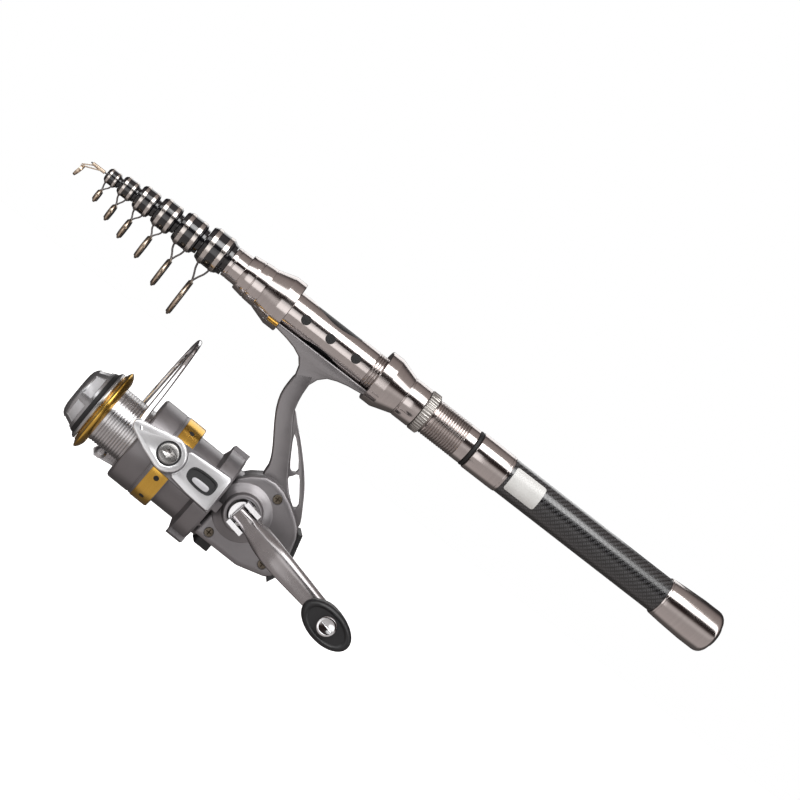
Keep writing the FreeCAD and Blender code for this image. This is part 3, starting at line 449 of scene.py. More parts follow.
@dataclass
class Studio:
    """Camera, floor, soft lights and the surroundings that the metal reflects."""

    camera_at: Point3 = (0.3267, 1.0, 0.0005)
    look_at: Point3 = (0.2167, 0.0, -0.003)
    camera_right: Point3 = (-0.7915, 0.0, 0.6111)
    lens: float = 84.5
    floor_z: float = -0.35
    floor_size: float = 12.0

    def build(self) -> None:
        """Make the whole stage."""
        self.place_camera()
        self.lay_floor()
        self.hang_lights()
        self.paint_surroundings()

    def place_camera(self) -> None:
        """Point the camera across the rod, rolled so that the rod runs corner to corner."""
        data = bpy.data.cameras.new("Camera")
        data.lens = self.lens
        data.sensor_width = 36.0
        data.clip_start = 0.01
        camera = bpy.data.objects.new("Camera", data)
        bpy.context.scene.collection.objects.link(camera)
        back = (Vector(self.camera_at) - Vector(self.look_at)).normalized()
        right = Vector(self.camera_right)
        right = (right - back * right.dot(back)).normalized()
        up = back.cross(right)
        turn = Matrix((right, up, back)).transposed()
        camera.matrix_world = Matrix.Translation(self.camera_at) @ turn.to_4x4()
        bpy.context.scene.camera = camera

    def lay_floor(self) -> None:
        """A wide pale floor below the object."""
        bpy.ops.mesh.primitive_plane_add(size=self.floor_size, location=(0.0, 0.0, self.floor_z))
        floor = bpy.context.object
        floor.name = "Floor"
        material = bpy.data.materials.new("Pale floor")
        material.use_nodes = True
        shader = material.node_tree.nodes["Principled BSDF"]
        shader.inputs["Base Color"].default_value = (0.93, 0.93, 0.93, 1.0)
        shader.inputs["Roughness"].default_value = 0.9
        shader.inputs["Emission Color"].default_value = (1.0, 1.0, 1.0, 1.0)
        shader.inputs["Emission Strength"].default_value = 0.9
        floor.data.materials.append(material)
        floor.visible_glossy = False
        floor.visible_diffuse = False

    def hang_lights(self) -> None:
        """Soft boxes: one high in front of the crank side, one low, one behind."""
        centre = Vector((0.21, 0.0, -0.05))
        for name, at, size, watts in (("Key", (0.1, 0.9, 1.0), 0.7, 6.0), ("Low fill", (0.5, 1.1, -0.25), 0.8, 1.6),
                                      ("Back", (0.2, -1.2, 0.8), 1.0, 4.0)):
            light = bpy.data.lights.new(name, "AREA")
            light.size = size
            light.energy = watts
            lamp = bpy.data.objects.new(name, light)
            bpy.context.scene.collection.objects.link(lamp)
            lamp.location = at
            lamp.rotation_euler = (centre - Vector(at)).to_track_quat("-Z", "Y").to_euler()

    def paint_surroundings(self) -> None:
        """White behind the object; banded soft light for what reflects and is lit."""
        world = bpy.data.worlds.new("Studio")
        bpy.context.scene.world = world
        world.use_nodes = True
        world.node_tree.nodes.clear()
        t = Tree(world.node_tree)
        parts = t.add("ShaderNodeSeparateXYZ", {0: t.add("ShaderNodeTexCoord").outputs["Generated"]})
        angle = t.math("ARCTAN2", parts.outputs[2], parts.outputs[1])
        share = t.math("ADD", t.math("DIVIDE", angle, 2 * math.pi), 0.5)
        ramp = t.add("ShaderNodeValToRGB", {0: share})
        stops = ((-180, (0.05, 0.045, 0.045)), (-115, (0.12, 0.11, 0.105)), (-95, (0.5, 0.46, 0.45)),
                 (-35, (0.46, 0.43, 0.42)), (-18, (0.62, 0.59, 0.58)), (-8, (0.5, 0.47, 0.46)),
                 (0, (0.1, 0.08, 0.075)), (5, (0.02, 0.013, 0.012)), (27, (0.02, 0.013, 0.012)),
                 (30, (2.4, 2.4, 2.4)), (52, (2.4, 2.4, 2.4)), (58, (0.42, 0.38, 0.36)),
                 (100, (0.3, 0.26, 0.25)), (125, (0.04, 0.035, 0.035)), (180, (0.05, 0.045, 0.045)))
        while len(ramp.color_ramp.elements) < len(stops):
            ramp.color_ramp.elements.new(0.5)
        for element, (degrees, colour) in zip(ramp.color_ramp.elements, stops):
            element.position = degrees / 360 + 0.5
            element.color = (*colour, 1.0)
        lit = t.add("ShaderNodeBackground", {"Color": ramp.outputs[0], "Strength": 1.0})
        seen = t.add("ShaderNodeBackground", {"Color": (1.0, 1.0, 1.0, 1.0), "Strength": 1.0})
        path = t.add("ShaderNodeLightPath")
        mixed = t.add("ShaderNodeMixShader", {0: path.outputs["Is Camera Ray"], 1: lit.outputs[0],
                                              2: seen.outputs[0]})
        t.add("ShaderNodeOutputWorld", {"Surface": mixed.outputs[0]})
        bpy.context.scene.view_settings.view_transform = "Standard"


# ---------------------------------------------------------------- modelling bench

SMOOTH_UNDER = 38.0  # degrees
MERGE_WITHIN = 1e-6  # metres


class Bench:
    """The modelling moves that the pieces share, all with the usual operators."""

    @staticmethod
    def clear() -> None:
        """Deselect every object."""
        if bpy.context.object and bpy.context.object.mode != "OBJECT":
            bpy.ops.object.mode_set(mode="OBJECT")
        bpy.ops.object.select_all(action="DESELECT")

    @staticmethod
    def pick(obj: bpy.types.Object) -> None:
        """Make one object the only selected and active one.

        Args:
            obj: the object.
        """
        Bench.clear()
        obj.select_set(True)
        bpy.context.view_layer.objects.active = obj

    @staticmethod
    def choose(test: Callable[[Vector], bool], mode: str = "VERT") -> None:
        """Select, in edit mode, what lies where test says.

        Args:
            test: says whether a corner's or a face centre's place is wanted.
            mode: "VERT" picks corners, "FACE" picks faces by their centres.
        """
        bpy.ops.mesh.select_mode(type=mode)
        bpy.ops.mesh.select_all(action="DESELECT")
        mesh = bmesh.from_edit_mesh(bpy.context.object.data)
        for item in mesh.verts if mode == "VERT" else mesh.faces:
            place = item.co if mode == "VERT" else item.calc_center_median()
            item.select_set(bool(test(place)))
        mesh.select_flush_mode()
        bmesh.update_edit_mesh(bpy.context.object.data)

    @staticmethod
    def apply_place(obj: bpy.types.Object) -> None:
        """Move an object's own place into its mesh.

        Args:
            obj: the object.
        """
        Bench.pick(obj)
        bpy.ops.object.transform_apply(location=True, rotation=True, scale=True)

    @staticmethod
    def choose_open_edges() -> None:
        """Select, in edit mode, the edges that have a face on one side only."""
        mesh = bmesh.from_edit_mesh(bpy.context.object.data)
        for edge in mesh.edges:
            edge.select_set(edge.is_boundary)
        bmesh.update_edit_mesh(bpy.context.object.data)

    @staticmethod
    def name_new(name: str) -> bpy.types.Object:
        """Name what an operator has just made, and move its own place into its mesh.

        Args:
            name: the piece's name.

        Returns:
            The piece.
        """
        obj = bpy.context.object
        obj.name = name
        Bench.apply_place(obj)
        return obj

    @staticmethod
    def turn_on_lathe(name: str, profile: Sequence[Point2], z: float = 0.0, sides: int = 96,
                      closed: bool = True) -> bpy.types.Object:
        """Turned piece about an axis along X, drawn out ring by ring from a circle.

        Args:
            name: the piece's name.
            profile: places along X and radii in millimetres, rear outside to front and back inside.
            z: height of its axis in millimetres.
            sides: how many sides its circle has.
            closed: True joins the last ring to the first; False caps both ends.

        Returns:
            The piece.
        """
        Bench.clear()
        (x, radius), rest = profile[0], profile[1:]
        bpy.ops.mesh.primitive_circle_add(vertices=sides, radius=radius * MM, location=(x * MM, 0.0, z * MM),
                                          rotation=(0.0, math.pi / 2, 0.0))
        obj = Bench.name_new(name)
        bpy.ops.object.mode_set(mode="EDIT")
        bpy.ops.mesh.select_mode(type="EDGE")
        bpy.ops.mesh.select_all(action="SELECT")
        for next_x, next_radius in rest:
            bpy.ops.mesh.extrude_edges_move(TRANSFORM_OT_translate={"value": ((next_x - x) * MM, 0.0, 0.0)})
            share = next_radius / radius
            bpy.ops.transform.resize(value=(1.0, share, share), center_override=(next_x * MM, 0.0, z * MM))
            x, radius = next_x, next_radius
        Bench.choose_open_edges()
        if closed:
            bpy.ops.mesh.bridge_edge_loops()
        else:
            bpy.ops.mesh.edge_face_add()
        Bench.face_out()
        return obj

    @staticmethod
    def face_out() -> None:
        """Turn every face outwards and leave edit mode."""
        bpy.ops.mesh.select_all(action="SELECT")
        bpy.ops.mesh.normals_make_consistent(inside=False)
        bpy.ops.object.mode_set(mode="OBJECT")

    @staticmethod
    def slide(index: int, place: Vector) -> None:
        """Slide one corner of the object in edit mode to a place.

        Args:
            index: the corner's number.
            place: where it goes, in metres.
        """
        data = bpy.context.object.data
        bpy.ops.mesh.select_all(action="DESELECT")
        mesh = bmesh.from_edit_mesh(data)
        mesh.verts.ensure_lookup_table()
        mesh.verts[index].select_set(True)
        step = place - mesh.verts[index].co
        bmesh.update_edit_mesh(data)
        bpy.ops.transform.translate(value=step)

    @staticmethod
    def draw_plate(name: str, outline: Sequence[Point2], y: Point2) -> bpy.types.Object:
        """Plate standing in the XZ plane: a disc pulled to its outline and thickened along Y.

        Args:
            name: the piece's name.
            outline: its corners (x, z) in millimetres, in order.
            y: its two faces in millimetres.

        Returns:
            The piece.
        """
        Bench.clear()
        bpy.ops.mesh.primitive_circle_add(vertices=len(outline), radius=0.01, fill_type="NGON",
                                          rotation=(math.pi / 2, 0.0, 0.0), location=(0.0, y[0] * MM, 0.0))
        obj = Bench.name_new(name)
        bpy.ops.object.mode_set(mode="EDIT")
        bpy.ops.mesh.select_mode(type="VERT")
        for index, (x, z) in enumerate(outline):
            Bench.slide(index, Vector((x, y[0], z)) * MM)
        bpy.ops.mesh.select_all(action="SELECT")
        bpy.ops.mesh.extrude_region_move(TRANSFORM_OT_translate={"value": (0.0, (y[1] - y[0]) * MM, 0.0)})
        Bench.face_out()
        return obj

    @staticmethod
    def bend_wire(name: str, points: Sequence[Point3], radius: float, thin: Sequence[float] = (),
                  round_steps: int = 5) -> bpy.types.Object:
        """Round wire along a smooth line.

        Args:
            name: the piece's name.
            points: control points in millimetres.
            radius: its radius in millimetres.
            thin: the share of that radius at each point, where it tapers.
            round_steps: fineness of its section.

        Returns:
            The piece, as a mesh.
        """
        Bench.clear()
        bpy.ops.curve.primitive_nurbs_path_add()
        obj = bpy.context.object
        obj.name = name
        line = obj.data.splines[0]
        line.points.add(max(0, len(points) - len(line.points)))
        shares = list(thin) or [1.0] * len(points)
        for index, point in enumerate(line.points):
            spot = min(index, len(points) - 1)
            point.co = (*(value * MM for value in points[spot]), 1.0)
            point.radius = shares[spot]
        line.order_u = 3
        line.use_endpoint_u = True
        line.resolution_u = 8
        obj.data.dimensions = "3D"
        obj.data.bevel_depth = radius * MM
        obj.data.bevel_resolution = round_steps
        obj.data.use_fill_caps = True
        Bench.pick(obj)
        bpy.ops.object.convert(target="MESH")
        obj = bpy.context.object
        bpy.ops.object.mode_set(mode="EDIT")
        bpy.ops.mesh.select_all(action="SELECT")
        bpy.ops.mesh.remove_doubles(threshold=MERGE_WITHIN)
        Bench.face_out()
        return obj

    @staticmethod
    def modify(obj: bpy.types.Object, kind: str, **settings: object) -> None:
        """Add one modifier and apply it.

        Args:
            obj: the object.
            kind: the modifier's type.
            settings: its properties.
        """
        Bench.pick(obj)
        modifier = obj.modifiers.new(kind.title(), kind)
        for name, value in settings.items():
            setattr(modifier, name, value)
        bpy.ops.object.modifier_apply(modifier=modifier.name)

    @staticmethod
    def ease(obj: bpy.types.Object, width: float, steps: int = 2, over: float = 28.0) -> None:
        """Round the sharp edges and shade the rest smooth.

        Args:
            obj: the object.
            width: of the rounding in millimetres.
            steps: its segments.
            over: degrees; edges sharper than this are rounded.
        """
        if width:
            Bench.modify(obj, "BEVEL", width=width * MM, segments=steps, limit_method="ANGLE",
                         angle_limit=math.radians(over), use_clamp_overlap=True, harden_normals=False)
        Bench.pick(obj)
        bpy.ops.object.shade_smooth_by_angle(angle=math.radians(SMOOTH_UNDER))

    @staticmethod
    def cut(obj: bpy.types.Object, tools: Iterable[bpy.types.Object]) -> None:
        """Cut tools out of an object, and remove them.

        Args:
            obj: the object.
            tools: what is taken out of it.
        """
        for tool in tools:
            Bench.modify(obj, "BOOLEAN", object=tool, operation="DIFFERENCE", solver="EXACT")
            bpy.data.objects.remove(tool)

    @staticmethod
    def peg(name: str, at: Point3, radius: float, length: float, axis: Axis = Axis.Y,
            sides: int = 32) -> bpy.types.Object:
        """Short bar centred on a point, used as a pin or as a cutter.

        Args:
            name: the piece's name.
            at: its centre in millimetres.
            radius: in millimetres.
            length: in millimetres.
            axis: the direction that it lies along.
            sides: how many sides it has.

        Returns:
            The piece.
        """
        Bench.clear()
        turn = Vector((0.0, 0.0, 1.0)).rotation_difference(Vector(axis.value)).to_euler()
        bpy.ops.mesh.primitive_cylinder_add(vertices=sides, radius=radius * MM, depth=length * MM,
                                            location=Vector(at) * MM, rotation=turn)
        return Bench.name_new(name)

    @staticmethod
    def cut_cross(obj: bpy.types.Object, at: Point3, radius: float, length: float) -> None:
        """Cut a driver's cross into a screw head that faces along Y.

        Args:
            obj: the head.
            at: the cross's centre in millimetres.
            radius: of the four-sided cutters in millimetres.
            length: across the cross in millimetres.
        """
        Bench.cut(obj, [Bench.peg("slot", at, radius, length, axis, 4) for axis in (Axis.X, Axis.Z)])

    @staticmethod
    def stand(obj: bpy.types.Object, x: float = 0.0, z: float = 0.0) -> None:
        """Stand a piece that was turned about X along Y.

        Args:
            obj: the piece.
            x: its axis's place in millimetres.
            z: that axis's height.
        """
        obj.matrix_world = Matrix.Translation((x * MM, 0.0, z * MM)) @ Matrix.Rotation(math.pi / 2, 4, "Z")
        Bench.apply_place(obj)

    @staticmethod
    def join(pieces: Sequence[bpy.types.Object]) -> bpy.types.Object:
        """Join objects into the first.

        Args:
            pieces: the objects.

        Returns:
            The first, now holding them all.
        """
        Bench.clear()
        for piece in pieces:
            piece.select_set(True)
        bpy.context.view_layer.objects.active = pieces[0]
        bpy.ops.object.join()
        return pieces[0]

    @staticmethod
    def copy(obj: bpy.types.Object, name: str) -> bpy.types.Object:
        """Copy an object with a mesh of its own.

        Args:
            obj: the object.
            name: the copy's name.

        Returns:
            The copy.
        """
        Bench.pick(obj)
        bpy.ops.object.duplicate(linked=False)
        bpy.context.object.name = name
        return bpy.context.object


def round_path(points: Sequence[Point2], steps: int = 4, closed: bool = True) -> list[Point2]:
    """Points of a smooth line that runs through the given ones.

    Args:
        points: the given ones.
        steps: how many parts each stretch gets.
        closed: whether the line comes back to its start.

    Returns:
        The line's points.
    """
    count = len(points)
    line: list[Point2] = []
    for index in range(count if closed else count - 1):
        near = [Vector(points[(index + k) % count] if closed else points[min(max(index + k, 0), count - 1)])
                for k in (-1, 0, 1, 2)]
        for step in range(steps):
            s = step / steps
            spot = 0.5 * (2 * near[1] + (near[2] - near[0]) * s
                          + (2 * near[0] - 5 * near[1] + 4 * near[2] - near[3]) * s * s
                          + (3 * near[1] - near[0] - 3 * near[2] + near[3]) * s ** 3)
            line.append((spot.x, spot.y))
    if not closed:
        line.append(points[-1])
    return line


def arc(x: float, radius: float, corner: float, start: float, end: float, steps: int = 6) -> list[Point2]:
    """Rounded corner of a turned profile.

    Args:
        x: place of the corner circle's centre along X.
        radius: its distance from the axis.
        corner: the circle's radius.
        start: first angle in degrees, from +X towards outside.
        end: last angle.
        steps: how many parts it has.

    Returns:
        Its points.
    """
    turns = [math.radians(start + (end - start) * k / steps) for k in range(steps + 1)]
    return [(x + corner * math.cos(turn), radius + corner * math.sin(turn)) for turn in turns]


def on_reel(obj: bpy.types.Object, spin: float = 0.0) -> bpy.types.Object:
    """Put a piece shaped in the reel's frame where the reel is.

    Args:
        obj: the piece.
        spin: degrees about the spool axis first.

    Returns:
        The piece.
    """
    obj.matrix_world = (Matrix.Translation(REEL_PLACE.at) @ Matrix.Rotation(REEL_PLACE.turn[1], 4, "Y")
                        @ Matrix.Rotation(math.radians(spin), 4, "X"))
    Bench.apply_place(obj)
    return obj


def fit(obj: bpy.types.Object, rounding: tuple[float, ...], finish: Finish, body: str, slot: str,
        *stands_for: str) -> None:
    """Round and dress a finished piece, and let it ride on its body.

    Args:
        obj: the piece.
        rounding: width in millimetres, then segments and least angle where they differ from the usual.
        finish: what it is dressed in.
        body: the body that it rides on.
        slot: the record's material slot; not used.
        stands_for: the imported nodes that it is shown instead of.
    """
    Bench.ease(obj, *rounding)
    obj.data.materials.clear()
    obj.data.materials.append(finish.material())
    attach(obj, body)
    if stands_for:
        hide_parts(*stands_for)
    log.info("made %s on %s", obj.name, body)


def fit_on_reel(obj: bpy.types.Object, *rest: object, spin: float = 0.0) -> None:
    """Place a piece that was shaped in the reel's own frame, then fit it.

    Args:
        obj: the piece.
        rest: what fit takes after the piece.
        spin: degrees that the rotor's pieces are turned by.
    """
    on_reel(obj, spin)
    fit(obj, *rest)


# ---------------------------------------------------------------- rod


@dataclass
class RodHandle:
    """Butt cap, carbon grip, grip rings and the plain label on the grip."""

    cap_end: float = 1.0
    cap_front: float = 38.0
    cap_radius: float = 12.9
    cap_front_radius: float = 11.6
    ring: tuple[float, float, float] = (147.0, 169.0, 11.2)
    o_ring: tuple[float, float, float] = (169.0, 171.5, 10.9)
    tube_radius: float = 9.35
    label: tuple[float, float, float, float] = (125.0, 145.0, -36.0, 44.0)
    label_radius: float = 10.8
    label_corner: float = 1.6
    label_seat: float = 10.78

    def build(self) -> None:
        """Make every piece."""
        self.turn_cap()
        self.turn_rings()
        self.stick_label()

    def turn_cap(self) -> None:
        """Flared butt cap with a rolled end and a fine bead at its mouth."""
        end = arc(self.cap_end + 5.0, self.cap_radius - 5.0, 5.0, 180.0, 90.0)
        profile = [(self.cap_end, 7.95), *end, (16.0, self.cap_radius), (30.0, 12.15), (36.6, self.cap_front_radius),
                   (36.9, self.cap_front_radius - 0.25), (37.2, self.cap_front_radius), (self.cap_front, 11.35),
                   (self.cap_front, 10.75), (12.0, 10.75), (12.0, 7.95)]
        cap = Bench.turn_on_lathe("butt_cap_shell", profile)
        fit(cap, (0.15,), GUNMETAL, "root", "gunmetal", "butt_cap")
        plug = Bench.turn_on_lathe("butt_cap_pad", [
            (9.0, 6.0), (9.0, 7.9), (0.9, 7.9), (0.0, 7.0), (0.0, 4.6), (0.35, 4.3), (0.35, 0.4)],
            sides=64, closed=False)
        fit(plug, (0.1,), BLACK_RUBBER, "root", "black_rubber", "butt_plug")

    def turn_rings(self) -> None:
        """Polished ring at the grip's front and the rubber ring before the seat."""
        x0, x1, radius = self.ring
        ring = Bench.turn_on_lathe("grip_end_ring", [
            (x0, 10.72), (x0, radius - 0.15), (x0 + 1.2, radius), (x0 + 1.5, radius - 0.2), (x0 + 1.8, radius),
            (x1 - 0.4, radius), (x1, radius - 0.4), (x1, self.tube_radius), (x0 + 4.0, self.tube_radius),
            (x0 + 4.0, 10.72)])
        fit(ring, (0.1,), GUNMETAL, "root", "gunmetal", "grip_front_ring")
        x0, x1, radius = self.o_ring
        band = [(x0 + 0.05, self.tube_radius), *arc(x0 + 1.0, radius - 0.95, 0.95, 180.0, 90.0, 4),
                *arc(x1 - 1.0, radius - 0.95, 0.95, 90.0, 0.0, 4), (x1 - 0.05, self.tube_radius)]
        rubber = Bench.turn_on_lathe("grip_rubber_ring", band)
        fit(rubber, (0.0,), BLACK_RUBBER, "root", "black_rubber", "grip_o_ring")

    def stick_label(self) -> None:
        """Blank film label wrapped on the crank side of the grip, with rounded corners."""
        x0, x1, low, high = self.label
        Bench.clear()
        bpy.ops.mesh.primitive_grid_add(x_subdivisions=4, y_subdivisions=96, size=MM)
        label = bpy.context.object
        label.name = "grip_label"
        label.scale = (x1 - x0, self.label_radius * math.radians(high - low), 1.0)
        Bench.apply_place(label)
        bpy.ops.object.mode_set(mode="EDIT")
        mesh = bmesh.from_edit_mesh(label.data)
        half_x, half_y = (x1 - x0) * MM / 2, self.label_radius * math.radians(high - low) * MM / 2
        corner = self.label_corner * MM
        for vert in mesh.verts:
            rise = abs(vert.co.y) - half_y + corner
            if rise > 0:
                vert.co.x *= 1 - (corner - math.sqrt(max(0.0, corner ** 2 - rise ** 2))) / half_x
        for vert in mesh.verts:
            turn = math.radians((low + high) / 2) + vert.co.y / (self.label_radius * MM)
            vert.co = Vector(((x0 + x1) / 2 * MM + vert.co.x, self.label_seat * MM * math.cos(turn),
                              self.label_seat * MM * math.sin(turn)))
        bmesh.update_edit_mesh(label.data)
        Bench.face_out()
        Bench.modify(label, "SOLIDIFY", thickness=0.12 * MM, offset=0.0)
        fit(label, (0.0,), STICKER, "root", "carbon")


@dataclass
class ReelSeat:
    """Threaded seat, sliding hood, collar, nut, fixed hood and ferrule."""

    barrel_radius: float = 10.6
    thread_runs: tuple[Point2, ...] = ((178.0, 198.6), (234.0, 241.0))
    pitch: float = 1.5
    nut: tuple[float, float, float] = (199.4, 205.3, 12.3)
    nut_teeth: int = 44
    collar: tuple[float, float, float] = (205.6, 217.0, 11.9)

    def build(self) -> None:
        """Make every piece."""
        self.cut_threads()
        self.knurl_nut()
        self.turn_collar()
        self.turn_ferrule()

    def cut_threads(self) -> None:
        """Thread ridges on the seat's rear run and by the sliding hood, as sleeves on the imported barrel."""
        for number, (start, end) in enumerate(self.thread_runs, 1):
            count = int((end - start) / self.pitch)
            root, crest = self.barrel_radius - 0.42, self.barrel_radius + 0.04
            profile = [(start - 0.3, self.barrel_radius - 0.5)]
            for k in range(count):
                x = start + k * self.pitch
                profile += [(x, root), (x + 0.4, crest), (x + 0.9, crest), (x + 1.3, root)]
            profile += [(end + 0.2, self.barrel_radius - 0.5), (end + 0.2, 10.0), (start - 0.3, 10.0)]
            thread = Bench.turn_on_lathe(f"seat_thread_{number}", profile, sides=72)
            fit(thread, (0.08, 1), THREAD_METAL, "root", "gunmetal")

    def knurl_nut(self) -> None:
        """Locking nut with straight knurling, made by pushing every second strip of its rim in."""
        x0, x1, radius = self.nut
        nut = Bench.turn_on_lathe("locking_nut_knurled", [
            (x0, 10.7), (x0, radius - 0.9), (x0 + 0.6, radius), (x1 - 0.6, radius), (x1, radius - 0.6), (x1, 10.7)],
            sides=self.nut_teeth * 4)
        Bench.pick(nut)
        bpy.ops.object.mode_set(mode="EDIT")
        step = 2 * math.pi / self.nut_teeth

        def in_groove(place: Vector) -> bool:
            """Whether a corner lies on the rim in a groove."""
            turn = math.atan2(place.z, place.y) % step / step
            return math.hypot(place.y, place.z) > (radius - 0.3) * MM and turn > 0.45

        Bench.choose(in_groove)
        share = (radius - 0.35) / radius
        bpy.ops.transform.resize(value=(1.0, share, share), center_override=(0.0, 0.0, 0.0))
        Bench.face_out()
        fit(nut, (0.0,), NUT_METAL, "nut", "gunmetal", "locking_nut")

    def turn_collar(self) -> None:
        """Collar behind the sliding hood, with a fine groove at each end."""
        x0, x1, radius = self.collar
        collar = Bench.turn_on_lathe("hood_collar_ring", [
            (x0, 10.7), (x0, radius - 0.35), (x0 + 0.3, radius), (x1 - 1.1, radius), (x1 - 0.9, radius - 0.3),
            (x1 - 0.6, radius - 0.3), (x1 - 0.4, radius), (x1, radius), (x1, 10.7)])
        fit(collar, (0.06,), GUNMETAL, "hood", "gunmetal", "hood_collar")

    def turn_ferrule(self) -> None:
        """Tapered ferrule in front of the fixed hood, stepped down to a slim sleeve."""
        ferrule = Bench.turn_on_lathe("front_ferrule_cone", [
            (310.0, 9.35), (310.0, 12.0), (311.0, 12.05), (317.0, 11.6), (317.2, 11.25), (317.6, 11.25),
            (317.8, 11.5), (324.1, 10.5), (324.5, 10.2), (324.5, 9.1), (330.5, 8.95), (330.7, 8.75),
            (331.1, 8.75), (331.3, 8.95), (333.2, 8.9), (333.5, 8.6), (333.5, 8.1), (332.5, 8.4), (325.0, 8.75)])
        fit(ferrule, (0.12,), GUNMETAL, "root", "gunmetal", "front_ferrule")


BAND_BEVEL = 0.12
BAND_SHARE = 2.7 / 16.4


@dataclass
class Section:
    """One sliding section's front end with its guide."""

    number: int
    rear: float
    front: float
    radius: float
    axis_z: float
    ring_x: float
    ring_radius: float
    ring_below: float
    wire: float

    def build(self) -> None:
        """Make the wrapped end, its bands, and the guide."""
        self.turn_barrel()
        self.bend_guide()

    def band_places(self) -> tuple[float, float, float]:
        """Where the two bands start, and how wide they are.

        Returns:
            Rear band's start, front band's start, and the width.
        """
        length = self.front - self.rear
        bevel = BAND_BEVEL * length
        width = BAND_SHARE * length
        return self.rear + 2.0 * bevel, self.front - 1.3 * bevel - width, width

    def turn_barrel(self) -> None:
        """Bands of bright plating over the packed, lacquered end."""
        rear, front, width = self.band_places()
        bands = []
        for start in (rear - 0.2, front):
            bands.append(Bench.turn_on_lathe(f"band_{self.number}", [
                (start, self.radius - 0.3), (start, self.radius + 0.12), (start + 0.18, self.radius + 0.3),
                (start + width - 0.18, self.radius + 0.3), (start + width, self.radius + 0.12),
                (start + width, self.radius - 0.3)], self.axis_z, 72))
        band = Bench.join(bands)
        band.name = f"guide_{self.number}_bands"
        fit(band, (0.0,), BAND_SILVER, f"section_{self.number}", "guide_metal")

    def bend_guide(self) -> None:
        """Plated ring, its dark insert and the V of wires up to the bands."""
        body = f"section_{self.number}"
        z = self.axis_z - self.ring_below
        inner = self.ring_radius - 1.15
        ring = Bench.turn_on_lathe(f"guide_{self.number}_ring", [
            *((self.ring_x + a, r) for a, r in arc(0.0, self.ring_radius - 0.75, 0.75, 180.0, 0.0, 8)),
            (self.ring_x + 1.1, inner + 0.15), (self.ring_x + 0.8, inner), (self.ring_x - 0.8, inner),
            (self.ring_x - 1.1, inner + 0.15)], z, 72)
        fit(ring, (0.08,), GUIDE_METAL, body, "guide_metal", f"guide_{self.number}")
        insert = Bench.turn_on_lathe(f"guide_{self.number}_insert", [
            (self.ring_x - 1.35, inner), (self.ring_x - 1.45, inner - 0.25), (self.ring_x - 1.2, inner - 0.5),
            (self.ring_x + 1.2, inner - 0.5), (self.ring_x + 1.45, inner - 0.25), (self.ring_x + 1.35, inner)], z, 72)
        fit(insert, (0.0,), BLACK_RUBBER, body, "black_plastic")
        rear, front, width = self.band_places()
        top = z + self.ring_radius - 0.4
        legs = []
        for foot_x in (rear + width / 2, front + width / 2):
            for side in (-1.0, 1.0):
                lean = (self.ring_x - foot_x) * 0.12
                under = self.axis_z - self.radius
                drop = under - top
                legs.append(Bench.bend_wire("leg", [
                    (foot_x, side * 1.6, under + 0.3),
                    (foot_x + lean, side * 1.6, under - 0.3 * drop),
                    (self.ring_x - 3 * lean, side * 1.4, under - 0.65 * drop),
                    (self.ring_x, side * 1.8, top - 0.2)], self.wire * 0.72, round_steps=3))
        wires = Bench.join(legs)
        wires.name = f"guide_{self.number}_wires"
        fit(wires, (0.0,), WIRE_METAL, body, "guide_metal")


@dataclass
class RodSections:
    """The six banded ends and their guides."""

    rows: tuple[tuple[float, ...], ...] = (
        (7, 333.9, 350.3, 10.6, -0.2, 343.0, 11.4, 31.2, 0.75),
        (6, 350.7, 366.0, 9.3, -1.2, 358.5, 9.0, 25.8, 0.7),
        (5, 366.4, 380.0, 8.2, -1.7, 374.0, 7.5, 20.6, 0.6),
        (4, 380.4, 392.4, 7.2, -2.3, 387.5, 6.4, 18.4, 0.55),
        (3, 392.8, 403.1, 5.5, -2.9, 398.4, 5.4, 15.5, 0.5),
        (2, 403.5, 412.0, 4.2, -3.4, 409.0, 4.1, 12.2, 0.45))

    def build(self) -> None:
        """Make every section's pieces."""
        for number, *sizes in self.rows:
            Section(int(number), *sizes).build()


# ---------------------------------------------------------------- reel


